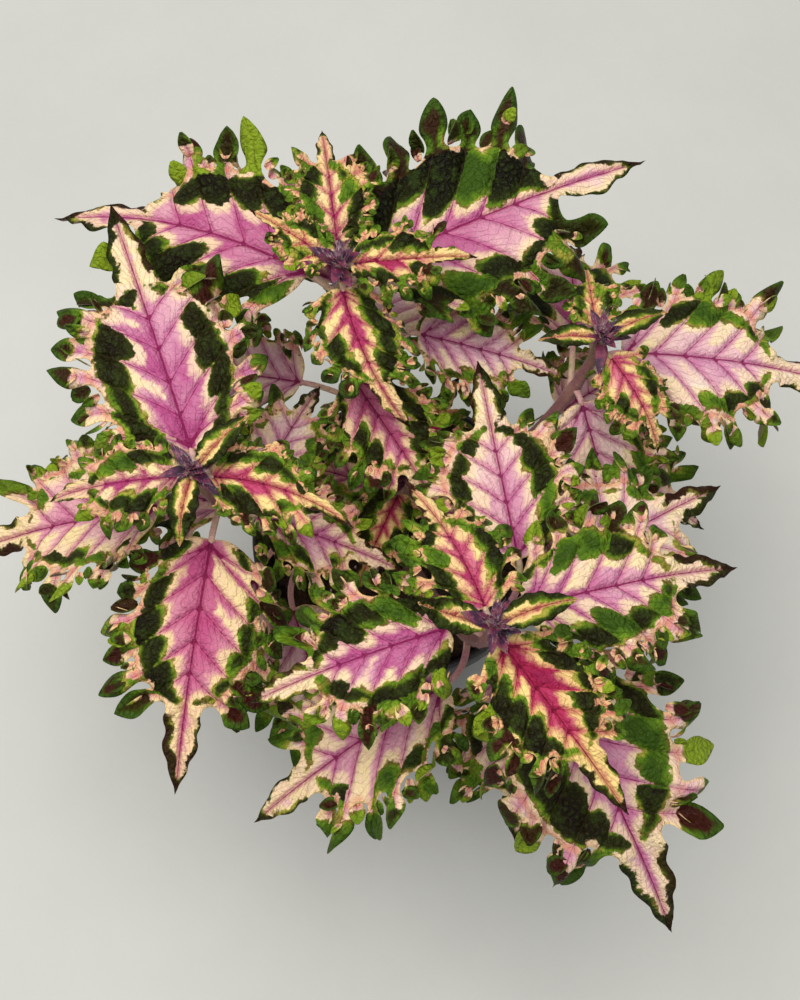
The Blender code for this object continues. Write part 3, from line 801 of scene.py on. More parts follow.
def sector_fields(blade, look, at):
    """The colour fields of the core and its green bands, drawn by the sectors between the side veins."""
    draw = blade.draw
    sectors = max(blade.count, 2) + 1
    if blade.count:
        number, near = sector_place(blade, at.points)
    else:
        number, near = np.zeros(len(at.points), int), np.zeros(len(at.points))
    side = np.where(at.is_left, 0, 1)
    rounded = 1 - np.sqrt(1 - near * near)

    def sector(make):
        """A value drawn for each sector, at every point."""
        return np.array([[make() for _ in range(sectors)] for _ in range(2)])[side, number]

    inner = at.band + sector(lambda: draw.uniform(-0.16, 0.10) + (0.4 if draw.random() < 0.08 else 0))
    green = (at.out - inner - sector(lambda: draw.uniform(0.10, 0.34)) * rounded) * at.reach
    apart = sector(lambda: draw.random() < look.neck)
    outer = (sector(lambda: draw.uniform(0.86, 1.0)) - at.out) * at.reach
    green = np.where(apart, np.minimum(green, outer), green)
    dark_share = 0.35 + 0.6 * look.dark
    dark = green - sector(lambda: draw.uniform(0.3, 2.4) if draw.random() < dark_share else SECTOR_PALE)
    hug = sector(lambda: draw.uniform(0.3, 5.5)) * at.size / 100
    cream = np.minimum(at.distance - hug, (at.out - sector(lambda: draw.uniform(0, 0.5))) * at.reach)
    cream = np.where(sector(lambda: draw.random() < look.cream), cream, -6.0)
    tone = look.magenta * (1 - look.fade * np.clip(at.x, 0, 1)) + sector(lambda: draw.uniform(-0.12, 0.12))
    tone = tone - sector(lambda: draw.uniform(0, 0.45)) * smoothstep(0.1, 0.9, at.out)
    maroon = np.full(len(at.points), 0.15 * look.maroon)
    return SimpleNamespace(green=green, dark=dark, cream=cream, tone=tone, maroon=maroon)


def colour_lobes(blade, look, at, made):
    """Colour each lobe by itself: a pale neck, then green, with a dark or maroon middle."""
    draw = blade.draw
    number, u, _ = lobe_place(blade, at.points)
    known = (number >= 0) & (at.out > 0.9)
    lengths = np.array([lobe.length * at.size for lobes in blade.sides for lobe in lobes])[number]

    def lobe_value(make):
        """A value drawn for each lobe, at every point."""
        return np.array([make() for _ in range(2 * blade.count)])[number]

    start = lobe_value(lambda: draw.uniform(0.12, 0.55) if draw.random() < look.neck else -0.3)
    green = (u - start) * lengths
    made.green = np.where(known, np.maximum(green, np.minimum(made.green, 1.5)), made.green)
    dark = np.minimum(at.edge - lobe_value(lambda: draw.uniform(0.4, 2.1)), green - 0.6)
    dark -= lobe_value(lambda: 0 if draw.random() < 0.25 + 0.6 * look.dark else LOBE_PALE)
    made.dark = np.where(known, dark, made.dark)
    maroon = lobe_value(lambda: min(draw.uniform(0, 2.6) * look.maroon, 1))
    made.maroon = np.where(known, maroon, made.maroon)


def colour_beak(blade, look, at, made):
    """Colour the narrow tip: a thin dark margin that closes over the very end."""
    draw = blade.draw
    beak = on_beak(at.points)
    margin = np.where(at.is_left, draw.uniform(1.4, 4.0), draw.uniform(1.4, 4.0)) * at.size / 100
    green = margin - at.edge + 2.4 * smoothstep(0.9, 1.0, at.x)
    made.green = made.green * (1 - beak) + green * beak
    made.dark = np.where(beak > 0.5, green - 0.3, made.dark)
    maroon = np.where(at.is_left, draw.uniform(0, 1), draw.uniform(0, 1))
    made.maroon = np.where(beak > 0.5, maroon, made.maroon)
    made.cream = np.where(beak > 0.5, -3.5 + 4 * (draw.random() < look.cream), made.cream)
    made.green = np.minimum(made.green, at.sinus - at.size / 100 * draw.uniform(1.2, 2.2))


def coat(blade, look, points, outline, sinuses, lines, seed):
    """The colour fields of a blade: green, pink and maroon, and the distances to veins and edges."""
    size = blade.leaf.length
    start, out = blade.vein_place(points)
    reach = core_reach(start) * size
    is_left = points[:, 1] >= 0
    x = points[:, 0]
    distance, width = vein_distance(lines, size, points)
    edge = nearest(outline, points)[0] * size
    sinus = nearest(sinuses, points)[0] * size if blade.count else np.full(len(points), 30.0)
    side_distance = nearest(np.concatenate(lines[1:]), points)[0] * size if blade.count else distance
    phase = (out * reach - 0.84 * side_distance) / (SECOND_VEINS * (size / 100) ** 0.35)
    band = np.where(is_left, look.left, look.right)
    at = SimpleNamespace(
        points=points, x=x, size=size, is_left=is_left, band=band, out=out, reach=reach,
        distance=distance, edge=edge, sinus=sinus,
    )
    made = sector_fields(blade, look, at)
    if blade.count:
        colour_lobes(blade, look, at, made)
        colour_beak(blade, look, at, made)
    else:
        made.green = (out - band) * reach
        made.dark = made.green - 0.8
        made.cream = -2.0 + 3 * look.cream
    made.green = np.minimum(made.green, (x - 0.02) * size)
    sinus = np.minimum(sinus, 1.3 + np.abs(out - 1.0) * reach) + 9 * on_beak(points)
    return Coat(
        flat=triples(x * size, points[:, 1] * size, seed * 7.3 % 400),
        fields=triples(made.green, made.cream, made.dark),
        veins=triples(distance - width, phase, 0.0),
        rim=triples(edge, sinus, 0.0),
        kind=triples(look.young, made.maroon, made.tone),
    )


def relief(blade, points, distance, phase):
    """How far the sheet stands off its plain curve at each point, in metres."""
    out = blade.vein_place(points)[1]
    core = 1 - smoothstep(0.8, 1.15, out)
    scale = (blade.leaf.length / 100) ** 0.5
    quilt = QUILT * scale * smoothstep(0, QUILT_REACH * scale, distance) * core
    second = 0.16 * np.abs(np.sin(math.pi * phase)) ** 0.7 * smoothstep(0.3, 1.6, distance) * core
    groove = -GROOVE * np.exp(-((distance / 0.6) ** 2))
    seed = blade.leaf.azimuth + blade.leaf.node
    sizes = (CRUMPLE_SIZE * scale, CRUMPLE_SIZE * 0.4 * scale)
    crumple = np.zeros(len(points))
    for size, amount in zip(sizes, (CRUMPLE, CRUMPLE * 0.45)):
        crumple += [amount * noise.noise((x / size, y / size, seed)) for x, y in points * blade.leaf.length]
    return (quilt + second + groove + crumple * scale) * MM


def lobe_form(blade, points):
    """Each lobe's own curl, twist and cup, as a rise in shares of the blade's length."""
    if not blade.count:
        return np.zeros(len(points))
    number, u, v = lobe_place(blade, points)
    curls = np.array([blade.draw.uniform(*LOBE_CURL) for _ in range(2 * blade.count)])
    twists = np.array([blade.draw.uniform(-LOBE_TWIST, LOBE_TWIST) for _ in range(2 * blade.count)])
    lengths = np.array([lobe.length for lobes in blade.sides for lobe in lobes])
    widths = np.array([lobe.half_width for lobes in blade.sides for lobe in lobes])
    reach = np.clip(u, 0, 1.05)
    rise = curls[number] * lengths[number] * reach**2
    rise += twists[number] * widths[number] * v * reach
    rise -= 0.30 * widths[number] * np.clip(v, -1.1, 1.1) ** 2 * smoothstep(0, 0.4, reach) * LOBE_CUP
    return np.where(number >= 0, rise, 0.0) * smoothstep(0.92, 1.1, blade.vein_place(points)[1])


def normals_of(points, faces):
    corners = points[faces]
    normal = np.cross(corners[:, 1] - corners[:, 0], corners[:, 2] - corners[:, 0])
    at_points = np.zeros_like(points)
    for k in range(3):
        np.add.at(at_points, faces[:, k], normal)
    return at_points / np.maximum(np.linalg.norm(at_points, axis=1), 1e-12)[:, None]


def new_piece(name, points, faces, material=None, smooth=True):
    """An object in the scene with a mesh of these points and faces."""
    mesh = bpy.data.meshes.new(name)
    mesh.from_pydata(np.array(points, float).tolist(), [], faces)
    if smooth:
        mesh.shade_smooth()
    if material:
        mesh.materials.append(material)
    piece = bpy.data.objects.new(name, mesh)
    bpy.context.scene.collection.objects.link(piece)
    return piece


def grid_faces(rows, across):
    """The faces of a grid of points that is stored row by row."""
    corners = [row * across + k for row in range(rows - 1) for k in range(across - 1)]
    return [(a, a + 1, a + across + 1, a + across) for a in corners]


def border_of(faces):
    """The outer edges of a sheet, each in the direction of its own face."""
    directed = {(a, b) for face in faces for a, b in zip(face, (*face[1:], face[0]))}
    return sorted((a, b) for a, b in directed if (b, a) not in directed)


def closed_sheet(faces, border, count):
    """The faces of a sheet, of its underside with each point count further on, and of its rim."""
    under = [tuple(i + count for i in reversed(face)) for face in faces]
    rim = [(b, a, a + count, b + count) for a, b in border]
    return [*faces, *under, *rim]


class Joined:
    """The points and faces of one mesh, joined from parts."""

    def __init__(self):
        self.points, self.faces = [], []

    def add(self, points, faces):
        at = len(self.points)
        self.points += np.asarray(points, float).tolist()
        self.faces += [tuple(i + at for i in face) for face in faces]


class Shell(Joined):
    """One leaf's mesh with its colour fields and its places on the texture, joined from closed sheets."""

    def __init__(self):
        super().__init__()
        self.fields = {label: [] for label in Coat._fields}
        self.places = []

    def add_sheet(self, upper, lower, faces, coat_of, places):
        self.add(np.concatenate([upper, lower]), faces)
        for label, values in zip(Coat._fields, coat_of):
            self.fields[label] += [values, values]
        self.fields["rim"][-1] = coat_of.rim + np.array([0, 0, 1.0])
        self.places += places


def vector_attribute(mesh, name, values):
    made = mesh.attributes.new(name, "FLOAT_VECTOR", "POINT")
    made.data.foreach_set("vector", np.ascontiguousarray(values, np.float32).ravel())


def leaflet_rows(length, width, curl, cup):
    """A small lens-shaped leaf: each row's place along, across and up, and the share along and across it."""
    rows = []
    for share in np.linspace(0, 1, LOBULE_ROWS):
        half = width * math.sin(math.pi * min(0.10 + 0.86 * share, 1)) ** 0.9 / 2 + 0.00015
        bend = curl * share
        run = length * (math.sin(bend) / bend if abs(bend) > 0.01 else 1) * share
        drop = length * (1 - math.cos(bend)) / bend * share if abs(bend) > 0.01 else 0.0
        for across in LOBULE_ACROSS:
            rows.append((run, across * half, drop + cup * half * across * across, share, across, half))
    return np.array(rows)


def lobule_places(blade):
    """Flat points on the core's margin where lobules stand, and the way each grows."""
    places = []
    for side, sign in ((0, 1), (1, -1)):
        lobes = blade.sides[side]
        for i, lobe in enumerate(lobes):
            spots = [lobe.root - lobe.ahead * lobe.half_width, lobe.root + lobe.axis * lobe.length * 0.35]
            if i:
                spots.append((lobe.root + lobes[i - 1].root) / 2)
            for spot in spots:
                if blade.draw.random() < LOBULE_SHARE:
                    turn = math.radians(blade.draw.uniform(*LOBULE_TURNS))
                    cos, sin = math.cos(turn), math.sin(turn)
                    x, y = lobe.axis
                    way = np.array([x * cos - y * sin, x * sin + y * cos])
                    places.append((spot * np.array([1, sign]), way * np.array([1, sign])))
    return places


def turned(first, second, angle):
    """Two unit directions, turned from the first towards the second."""
    cos, sin = math.cos(angle), math.sin(angle)
    return first * cos + second * sin, second * cos - first * sin


def standing(blade, base, spot, way):
    """The foot of a lobule on the bent blade, and the directions ahead, aside and up there."""
    near = np.stack([spot, spot + way * 0.02, spot + np.array([way[1], -way[0]]) * 0.02])
    foot, ahead, aside = blade.place(near, base)
    ahead = (ahead - foot) / np.linalg.norm(ahead - foot)
    aside = (aside - foot) - ahead * ((aside - foot) @ ahead)
    aside /= np.linalg.norm(aside)
    upward = np.cross(aside, ahead)
    upward *= 1 if upward[2] > 0 else -1
    return foot, ahead, aside, upward


def lobules(blade, look, base, seed):
    """The lobules of one leaf: the points, the way up and the colour fields of each."""
    draw = blade.draw
    made = []
    scale = min(blade.leaf.length / 95, 1.1) * MM
    for spot, way in lobule_places(blade):
        foot, ahead, aside, upward = standing(blade, base, spot, way)
        ahead, upward = turned(ahead, upward, math.radians(draw.uniform(*LOBULE_RISES)))
        aside, upward = turned(aside, upward, draw.uniform(*LOBULE_ROLLS))
        length = draw.uniform(*LOBULE_LENGTHS) * scale
        width = length * draw.uniform(*LOBULE_WIDTHS)
        rows = leaflet_rows(length, width, draw.uniform(*LOBULE_CURLS), draw.uniform(*LOBULE_CUPS))
        foot = foot - ahead * length * 0.12
        points = foot + rows[:, :1] * ahead + rows[:, 1:2] * aside + rows[:, 2:3] * upward
        made.append((points, upward, lobule_coat(draw, look, spot, rows, length / MM, seed)))
    return made


def lobule_coat(draw, look, spot, rows, long, seed):
    """The colour fields of a lobule: a pink foot, green further out, and dark or lime towards its tip."""
    u, half = rows[:, 3], rows[:, 5] / MM
    v = np.abs(rows[:, 4]) * half
    edge = np.minimum(half - v, long * (1 - u))
    start = draw.uniform(0.15, 0.5) if draw.random() < 0.75 else -0.3
    green = (u - start) * long
    is_dark = draw.random() < 0.25 + 0.5 * look.dark
    dark = np.minimum(edge - draw.uniform(0.1, 1.0), green - 0.5) - (0 if is_dark else LOBE_PALE)
    cream = draw.choice((-5.0, 1.0))
    maroon = draw.uniform(0, 1)
    return Coat(
        flat=triples(spot[0] * 100 + u * long, rows[:, 1] / MM + spot[1] * 100, seed * 3.1),
        fields=triples(green, cream, dark),
        veins=triples(v - 0.10 * (1 - u), 0.5, 0.0),
        rim=triples(edge, 1.0 + u * long, 0.0),
        kind=triples(u * 0 + look.young, maroon, look.magenta * 0.8),
    )


def add_lobules(shell, small, free):
    """Join a leaf's lobules to its shell, each side in a free cell of the texture."""
    across = len(LOBULE_ACROSS)
    grid = grid_faces(LOBULE_ROWS, across)
    border = border_of(grid)
    cells = free_cells(2 * len(small), free)
    for number, (points, upward, coat_of) in enumerate(small):
        is_turned = upward @ np.cross(points[1] - points[0], points[across] - points[0]) <= 0
        faces = [face[::-1] for face in grid] if is_turned else grid
        edges = [(b, a) for a, b in border] if is_turned else border
        closed = closed_sheet(faces, edges, len(points))
        places = leaflet_map(closed, len(points), *cells[2 * number : 2 * number + 2])
        shell.add_sheet(points + upward * SHEET / 3, points - upward * SHEET / 3, closed, coat_of, places)


def blade_sides(blade, base, points, faces, made):
    """The blade's upper and lower surface, with its relief and with ridges under its veins."""
    surface = blade.place(points, base, lobe_form(blade, points))
    distance = made.veins[:, 0] + 0.4
    rise = relief(blade, points, distance, made.veins[:, 1])
    surface = surface + normals_of(surface, faces) * rise[:, None]
    normal = normals_of(surface, faces)
    ridge = RIDGE * MM * np.exp(-((distance / 0.7) ** 2)) * (blade.leaf.length / 110)
    thick = SHEET * smoothstep(-0.2, 1.2, made.rim[:, 0]) * 0.6 + SHEET * 0.4
    return surface + normal * thick[:, None] / 2, surface - normal * (thick / 2 + ridge)[:, None]


def leaf_piece(name, blade, look, base, seed, material):
    """A finer leaf blade and its lobules as closed sheets with colour fields and a flat texture map."""
    points, faces, outline, sinuses, lines = blade.fine_flat()
    made = coat(blade, look, points, outline, sinuses, lines, seed)
    upper, lower = blade_sides(blade, base, points, faces, made)
    faces = [tuple(face) for face in faces.tolist()]
    border = border_of(faces)
    places, free = texture_map(points, faces, border)
    shell = Shell()
    shell.add_sheet(upper, lower, closed_sheet(faces, border, len(points)), made, places)
    add_lobules(shell, lobules(blade, look, base, seed), free)
    piece = new_piece(name, shell.points, shell.faces, material)
    for label, values in shell.fields.items():
        vector_attribute(piece.data, label, np.concatenate(values))
    layer = piece.data.uv_layers.new(name="OFBake")
    corners = [corner for face in shell.places for corner in face]
    layer.data.foreach_set("uv", np.array(corners, np.float32).ravel())
    return piece


def texture_map(points, faces, border):
    """Each face's corners on the texture: the upper side large, its rim just outside it, the underside small.

    Also gives the low and high corner of the free part of the square.
    """
    low, high = points.min(axis=0), points.max(axis=0)
    wide, tall = high - low
    upper = min(0.95 / wide, 0.64 / tall)
    under = min(0.95 / wide, 0.29 / tall)
    top = (points - low) * upper + 0.02
    bottom = (points - low) * under + np.array([0.02, 0.69])
    outset = np.zeros_like(points)
    for a, b in border:
        along = points[b] - points[a]
        outward = np.array([along[1], -along[0]]) / max(np.linalg.norm(along), 1e-9)
        outset[a] += outward
        outset[b] += outward
    length = np.maximum(np.linalg.norm(outset, axis=1), 1e-9)[:, None]
    rim = top + outset / length * 0.004
    placed = [[top[i] for i in face] for face in faces]
    placed += [[bottom[i] for i in face[::-1]] for face in faces]
    placed += [[top[b], top[a], rim[a], rim[b]] for a, b in border]
    return placed, (0.04 + wide * under, 0.70, 0.99, 0.99)


def free_cells(amount, free):
    """Enough equal cells in the free part of the texture: the low corner and size of each."""
    wide, tall = free[2] - free[0], free[3] - free[1]
    columns = max(1, math.ceil(math.sqrt(max(amount, 1) * wide / tall)))
    rows = max(1, math.ceil(max(amount, 1) / columns))
    size = (wide / columns, tall / rows)
    places = [(i % columns, i // columns) for i in range(amount)]
    return [((free[0] + size[0] * x, free[1] + size[1] * y), size) for x, y in places]


def leaflet_map(closed, size, top_cell, bottom_cell):
    """Each face's corners on the texture for one lobule, its two sides in cells of their own."""
    across = len(LOBULE_ACROSS)

    def at(index, cell, spread):
        """The place of a grid point in a cell."""
        row, k = divmod(index % size, across)
        (x, y), (wide, tall) = cell
        along = 0.5 + (row / (LOBULE_ROWS - 1) - 0.5) * spread
        aside = 0.5 + (k / (across - 1) - 0.5) * spread
        return x + wide * along, y + tall * aside

    placed = []
    for face in closed:
        if min(face) >= size:
            placed.append([at(i, bottom_cell, 0.80) for i in face])
        else:
            placed.append([at(i, top_cell, 0.90 if i >= size else 0.80) for i in face])
    return placed


# Stems and stalks


def stem_centre(stem, height):
    """The middle of the stem at a height: upright in the soil, then leaning out, and steeper by the tip."""
    foot = np.array(stem.foot) * MM
    tip = np.array(stem.tip) * MM
    share = min(max((height - LEAN_FROM) / (tip[2] - LEAN_FROM), 0), 1)
    out = 1 - (1 - share) ** LEAN_POWER
    return np.array([*(foot + (tip[:2] - foot) * out), height])


def stem_radius(stem, height):
    share = (height - STEM_FOOT) / (stem.tip[2] * MM - STEM_FOOT)
    return STEM_FOOT_RADIUS + (STEM_TIP_RADIUS - STEM_FOOT_RADIUS) * share


def direction(azimuth, rise):
    """The unit vector at an azimuth from +X and a rise above the horizontal, both in degrees."""
    azimuth, rise = math.radians(azimuth), math.radians(rise)
    level = math.cos(rise)
    return np.array([math.cos(azimuth) * level, math.sin(azimuth) * level, math.sin(rise)])


def stalk_curve(stem, leaf, blade, rings):
    """A leaf's stalk from inside the stem to under the midrib: centres, radii and the blade's foot."""
    foot = stem_centre(stem, leaf.node * MM)
    reach = leaf.stalk * MM
    base = foot + reach * direction(leaf.azimuth + leaf.swing, (leaf.pitch + STALK_RISE) / 2)
    control = base - reach * STALK_ARCH * direction(leaf.azimuth, leaf.pitch)
    share = np.linspace(0, 1, rings)[:, None]
    centres = foot * (1 - share) ** 2 + control * 2 * share * (1 - share) + base * share**2
    grown = min(leaf.length / STALK_FULL_LENGTH, 1)
    thick = STALK_RADIUS * (STALK_THINNEST + (1 - STALK_THINNEST) * grown)
    run = np.linspace(0.015, 0.22, 8)
    radii = np.concatenate([np.linspace(1.12, 1, rings), np.linspace(0.85, 0.25, 8)]) * thick
    sunk = -(radii[rings:] + SHEET) / blade.length
    keel = blade.place(np.stack([run, np.zeros(8)], axis=1), base, sunk)
    return np.concatenate([centres, keel]), radii, base


def profile_tube(centres, radii, sides, shape):
    """A closed tube whose section at each ring is shape(angle) times the radius."""
    along = np.gradient(np.asarray(centres), axis=0)
    along /= np.linalg.norm(along, axis=1)[:, None]
    reference = np.array((0.0, 0.0, 1.0) if abs(along[0][2]) < STEEP else (1.0, 0.0, 0.0))
    vertices, faces = [], []
    for centre, ahead, radius in zip(centres, along, radii):
        side = np.cross(reference, ahead)
        side /= np.linalg.norm(side)
        top = np.cross(ahead, side)
        for k in range(sides):
            angle = 2 * math.pi * k / sides
            reach = radius * shape(angle)
            vertices.append(centre + reach * (math.cos(angle) * side + math.sin(angle) * top))
    for ring in range(len(centres) - 1):
        for k in range(sides):
            a, b = ring * sides + k, ring * sides + (k + 1) % sides
            faces.append((a, b, b + sides, a + sides))
    faces.append(tuple(reversed(range(sides))))
    faces.append(tuple(range((len(centres) - 1) * sides, len(centres) * sides)))
    return vertices, faces


def square_section(angle):
    """A rounded square with a shallow groove down each side, as on a mint family stem."""
    return 1.02 + 0.10 * math.cos(4 * angle + 0.01) + 0.02 * math.cos(8 * angle)


def stalk_section(angle):
    """A round stalk with a groove along its upper side."""
    near_top = math.cos(angle - math.pi / 2)
    return 1.0 - 0.22 * max(near_top, 0) ** 6


def stem_piece(stem, number, material):
    """The square stem, its swollen joints and all its leaf stalks, in one piece."""
    nodes = np.array([leaf.node * MM for leaf in stem.leaves])
    centres, radii = [], []
    for height in np.linspace(STEM_FOOT, stem.tip[2] * MM, STEM_RINGS):
        swell = SWELLING * np.exp(-(((nodes - height) / SWELLING_REACH) ** 2)).max()
        centres.append(stem_centre(stem, height))
        radii.append(stem_radius(stem, height) * (0.98 + swell))
    joined = Joined()
    joined.add(*profile_tube(centres, radii, 20, square_section))
    stem_points = len(joined.points)
    for order, leaf in enumerate(stem.leaves):
        blade = Blade(leaf, 100 * number + order)
        centres, radii, _ = stalk_curve(stem, leaf, blade, STALK_RINGS)
        joined.add(*profile_tube(centres, radii, 12, stalk_section))
    piece = new_piece(stem.name.replace("leafy_stem", "stem"), joined.points, joined.faces, material)
    is_stalk = np.arange(len(joined.points)) >= stem_points
    vector_attribute(piece.data, "stalk", triples(is_stalk, 0.0, 0.0))
    return piece


# Tufts of young leaves and hairs at the growing tips


def cone(start, tip, radius):
    """A thin three-sided hair."""
    ahead = (tip - start) / np.linalg.norm(tip - start)
    side = np.cross(ahead, (0.3, 0.5, 0.81))
    side /= np.linalg.norm(side)
    other = np.cross(ahead, side)
    ring = [start + radius * (math.cos(a) * side + math.sin(a) * other) for a in (0, 2.0944, 4.1888)]
    return [*ring, tip], [(0, 1, 3), (1, 2, 3), (2, 0, 3)]


def bud_leaf(base, azimuth, rise, length, draw):
    """A tiny folded leaf of the tuft: points and faces of a closed lens, and its upper points."""
    ahead = direction(azimuth, rise)
    aside = direction(azimuth + 90, 0)
    upward = np.cross(ahead, aside)
    rows = []
    curl = draw.uniform(-0.1, 0.65)
    for share in np.linspace(0, 1, BUD_ROWS):
        width = length * 0.19 * math.sin(math.pi * min(share * 0.92 + 0.06, 1)) ** 0.8
        bend = -curl * share * share * length
        centre = base + ahead * share * length + upward * bend
        for across in BUD_ACROSS:
            fold = 0.35 * abs(across) * width
            rows.append(centre + aside * across * width + upward * fold)
    upper = np.array(rows)
    faces = grid_faces(BUD_ROWS, len(BUD_ACROSS))
    both = np.concatenate([upper, upper - upward * BUD_SHEET])
    return both, closed_sheet(faces, border_of(faces), len(upper)), upper


def tuft_pieces(stem, number, bud_material, hair_material):
    """The growing tip: tiny bud leaves in crossed pairs, and hairs on them and on the upper stem."""
    draw = random.Random(TUFT_SEED + number)
    tip = stem_centre(stem, stem.tip[2] * MM)
    buds, hairs = Joined(), Joined()

    def add_hair(start, toward, length):
        toward = toward / np.linalg.norm(toward)
        wobble = np.array([draw.uniform(-0.45, 0.45) for _ in range(3)])
        hairs.add(*cone(start, start + (toward + wobble) * length, HAIR_RADIUS))

    start_azimuth = stem.leaves[0].azimuth + 90
    for pair in range(BUD_PAIRS):
        for half in range(2):
            azimuth = start_azimuth + pair * 90 + half * 180 + draw.uniform(-25, 25)
            rise = 20 + pair * 9 + draw.uniform(-12, 12)
            length = (0.0128 - pair * 0.0010) * draw.uniform(0.7, 1.15)
            base = tip + np.array([0, 0, -0.003 + pair * 0.0007])
            points, faces, upper = bud_leaf(base, azimuth, rise, length, draw)
            buds.add(points, faces)
            for _ in range(BUD_HAIRS):
                at = upper[draw.randrange(len(upper))]
                add_hair(at, at - tip + np.array([0, 0, 0.003]), draw.uniform(0.0014, 0.0042))
    for _ in range(STEM_HAIRS):
        height = (stem.tip[2] - draw.uniform(0, 1) ** 1.5 * 60) * MM
        angle = draw.uniform(0, 2 * math.pi)
        outward = np.array([math.cos(angle), math.sin(angle), draw.uniform(-0.2, 0.4)])
        start = stem_centre(stem, height) + outward * stem_radius(stem, height) * 0.95
        add_hair(start, outward, draw.uniform(0.0008, 0.0018))
    return [
        new_piece(stem.name.replace("leafy_stem", "buds"), buds.points, buds.faces, bud_material),
        new_piece(stem.name.replace("leafy_stem", "hairs"), hairs.points, hairs.faces, hair_material),
    ]


# Materials


def linear(red, green, blue):
    """A colour given as 0 to 255 on screen, as the shader takes it."""
    values = [c / 255 for c in (red, green, blue)]
    return (*[c / 12.92 if c <= 0.04045 else ((c + 0.055) / 1.055) ** 2.4 for c in values], 1.0)


class Graph:
    """A material's nodes, with short calls for the few kinds used here."""

    def __init__(self, name):
        self.material = bpy.data.materials.new(name)
        self.material.use_nodes = True
        self.tree = self.material.node_tree
        self.shader = self.tree.nodes["Principled BSDF"]

    def link(self, value, socket):
        if isinstance(value, bpy.types.NodeSocket):
            self.tree.links.new(value, socket)
        else:
            socket.default_value = linear(*value) if isinstance(value, tuple) else value

    def math(self, operation, a, b=0.0, c=None):
        node = self.tree.nodes.new("ShaderNodeMath")
        node.operation = operation
        self.link(a, node.inputs[0])
        self.link(b, node.inputs[1])
        if c is not None:
            self.link(c, node.inputs[2])
        return node.outputs[0]

    def plus(self, a, b):
        return self.math("ADD", a, b)

    def minus(self, a, b):
        return self.math("SUBTRACT", a, b)

    def times(self, a, b):
        return self.math("MULTIPLY", a, b)

    def times_plus(self, a, factor, added):
        """a times factor, plus added."""
        return self.math("MULTIPLY_ADD", a, factor, added)

    def step(self, value, low, high, start=0.0, end=1.0):
        """A smooth change from start at low to end at high."""
        node = self.tree.nodes.new("ShaderNodeMapRange")
        node.interpolation_type = "SMOOTHSTEP"
        for index, given in enumerate((value, low, high, start, end)):
            self.link(given, node.inputs[index])
        return node.outputs[0]

    def mix(self, share, a, b):
        node = self.tree.nodes.new("ShaderNodeMix")
        node.data_type = "RGBA"
        self.link(share, node.inputs[0])
        self.link(a, node.inputs[6])
        self.link(b, node.inputs[7])
        return node.outputs[2]

    def ramp(self, value, stops):
        """Colours by a value, from stops of (position, colour)."""
        node = self.tree.nodes.new("ShaderNodeValToRGB")
        self.link(value, node.inputs[0])
        line = node.color_ramp
        first, *middle, last = [(position, linear(*colour)) for position, colour in stops]
        line.elements[0].position, line.elements[0].color = first
        line.elements[1].position, line.elements[1].color = last
        for position, colour in middle:
            line.elements.new(position).color = colour
        return node.outputs[0]

    def noise(self, place, scale, detail=2.0, rough=0.5):
        node = self.tree.nodes.new("ShaderNodeTexNoise")
        self.link(place, node.inputs["Vector"])
        self.link(scale, node.inputs["Scale"])
        self.link(detail, node.inputs["Detail"])
        self.link(rough, node.inputs["Roughness"])
        return node.outputs[0]

    def cells(self, place, scale, dimensions="3D"):
        """The distance to the nearest edge of a net of cells."""
        node = self.tree.nodes.new("ShaderNodeTexVoronoi")
        node.voronoi_dimensions = dimensions
        node.feature = "DISTANCE_TO_EDGE"
        self.link(place, node.inputs["Vector"])
        self.link(scale, node.inputs["Scale"])
        return node.outputs["Distance"]

    def attribute(self, name):
        node = self.tree.nodes.new("ShaderNodeAttribute")
        node.attribute_name = name
        return node.outputs["Vector"]

    def parts(self, vector):
        node = self.tree.nodes.new("ShaderNodeSeparateXYZ")
        self.link(vector, node.inputs[0])
        return node.outputs[0], node.outputs[1], node.outputs[2]

    def object_place(self):
        return self.tree.nodes.new("ShaderNodeTexCoord").outputs["Object"]

    def bump(self, height, distance, strength=1.0):
        """Relief from a height, that many metres deep."""
        node = self.tree.nodes.new("ShaderNodeBump")
        self.link(height, node.inputs["Height"])
        self.link(distance, node.inputs["Distance"])
        self.link(strength, node.inputs["Strength"])
        self.tree.links.new(node.outputs[0], self.shader.inputs["Normal"])

    def finish(self, colour, roughness, specular=0.5):
        self.shader.inputs["Specular IOR Level"].default_value = specular
        self.link(colour, self.shader.inputs["Base Color"])
        self.link(roughness, self.shader.inputs["Roughness"])
        return self.material


class LeafGraph(Graph):
    """The leaf material's nodes, with what they read at each point and the noises that they share."""

    def __init__(self):
        super().__init__("coleus_leaf")
        self.flat = self.attribute("flat")
        self.green, self.cream, self.dark = self.parts(self.attribute("fields"))
        self.mark, self.phase, _ = self.parts(self.attribute("veins"))
        self.edge, self.sinus, self.under = self.parts(self.attribute("rim"))
        self.young, self.maroon, self.tone = self.parts(self.attribute("kind"))
        self.fine = self.centred(1.1, 3.0, 0.6)
        self.middle = self.centred(0.34, 2.0, 0.55)
        self.broad = self.centred(0.11, 1.0)
        self.jag = self.times_plus(self.middle, 2.4, self.times(self.fine, 0.9))
        self.net = self.cells(self.flat, 0.40, "2D")
        self.small_net = self.cells(self.flat, 0.95, "2D")
        self.ragged = self.times_plus(self.middle, 2.6, self.plus(self.green, self.jag))
        self.is_green = self.step(self.ragged, -0.05, 0.75)

    def centred(self, scale, detail, rough=0.5):
        """Noise over the flat leaf, round zero."""
        return self.minus(self.noise(self.flat, scale, detail, rough), 0.5)

    def by_age(self, mature, young):
        """A colour of a mature leaf, or of a young one."""
        return self.mix(self.young, mature, young)

    def in_green(self, core, green):
        """A value in the core, or in the green parts."""
        return self.step(self.is_green, 0.0, 1.0, core, green)


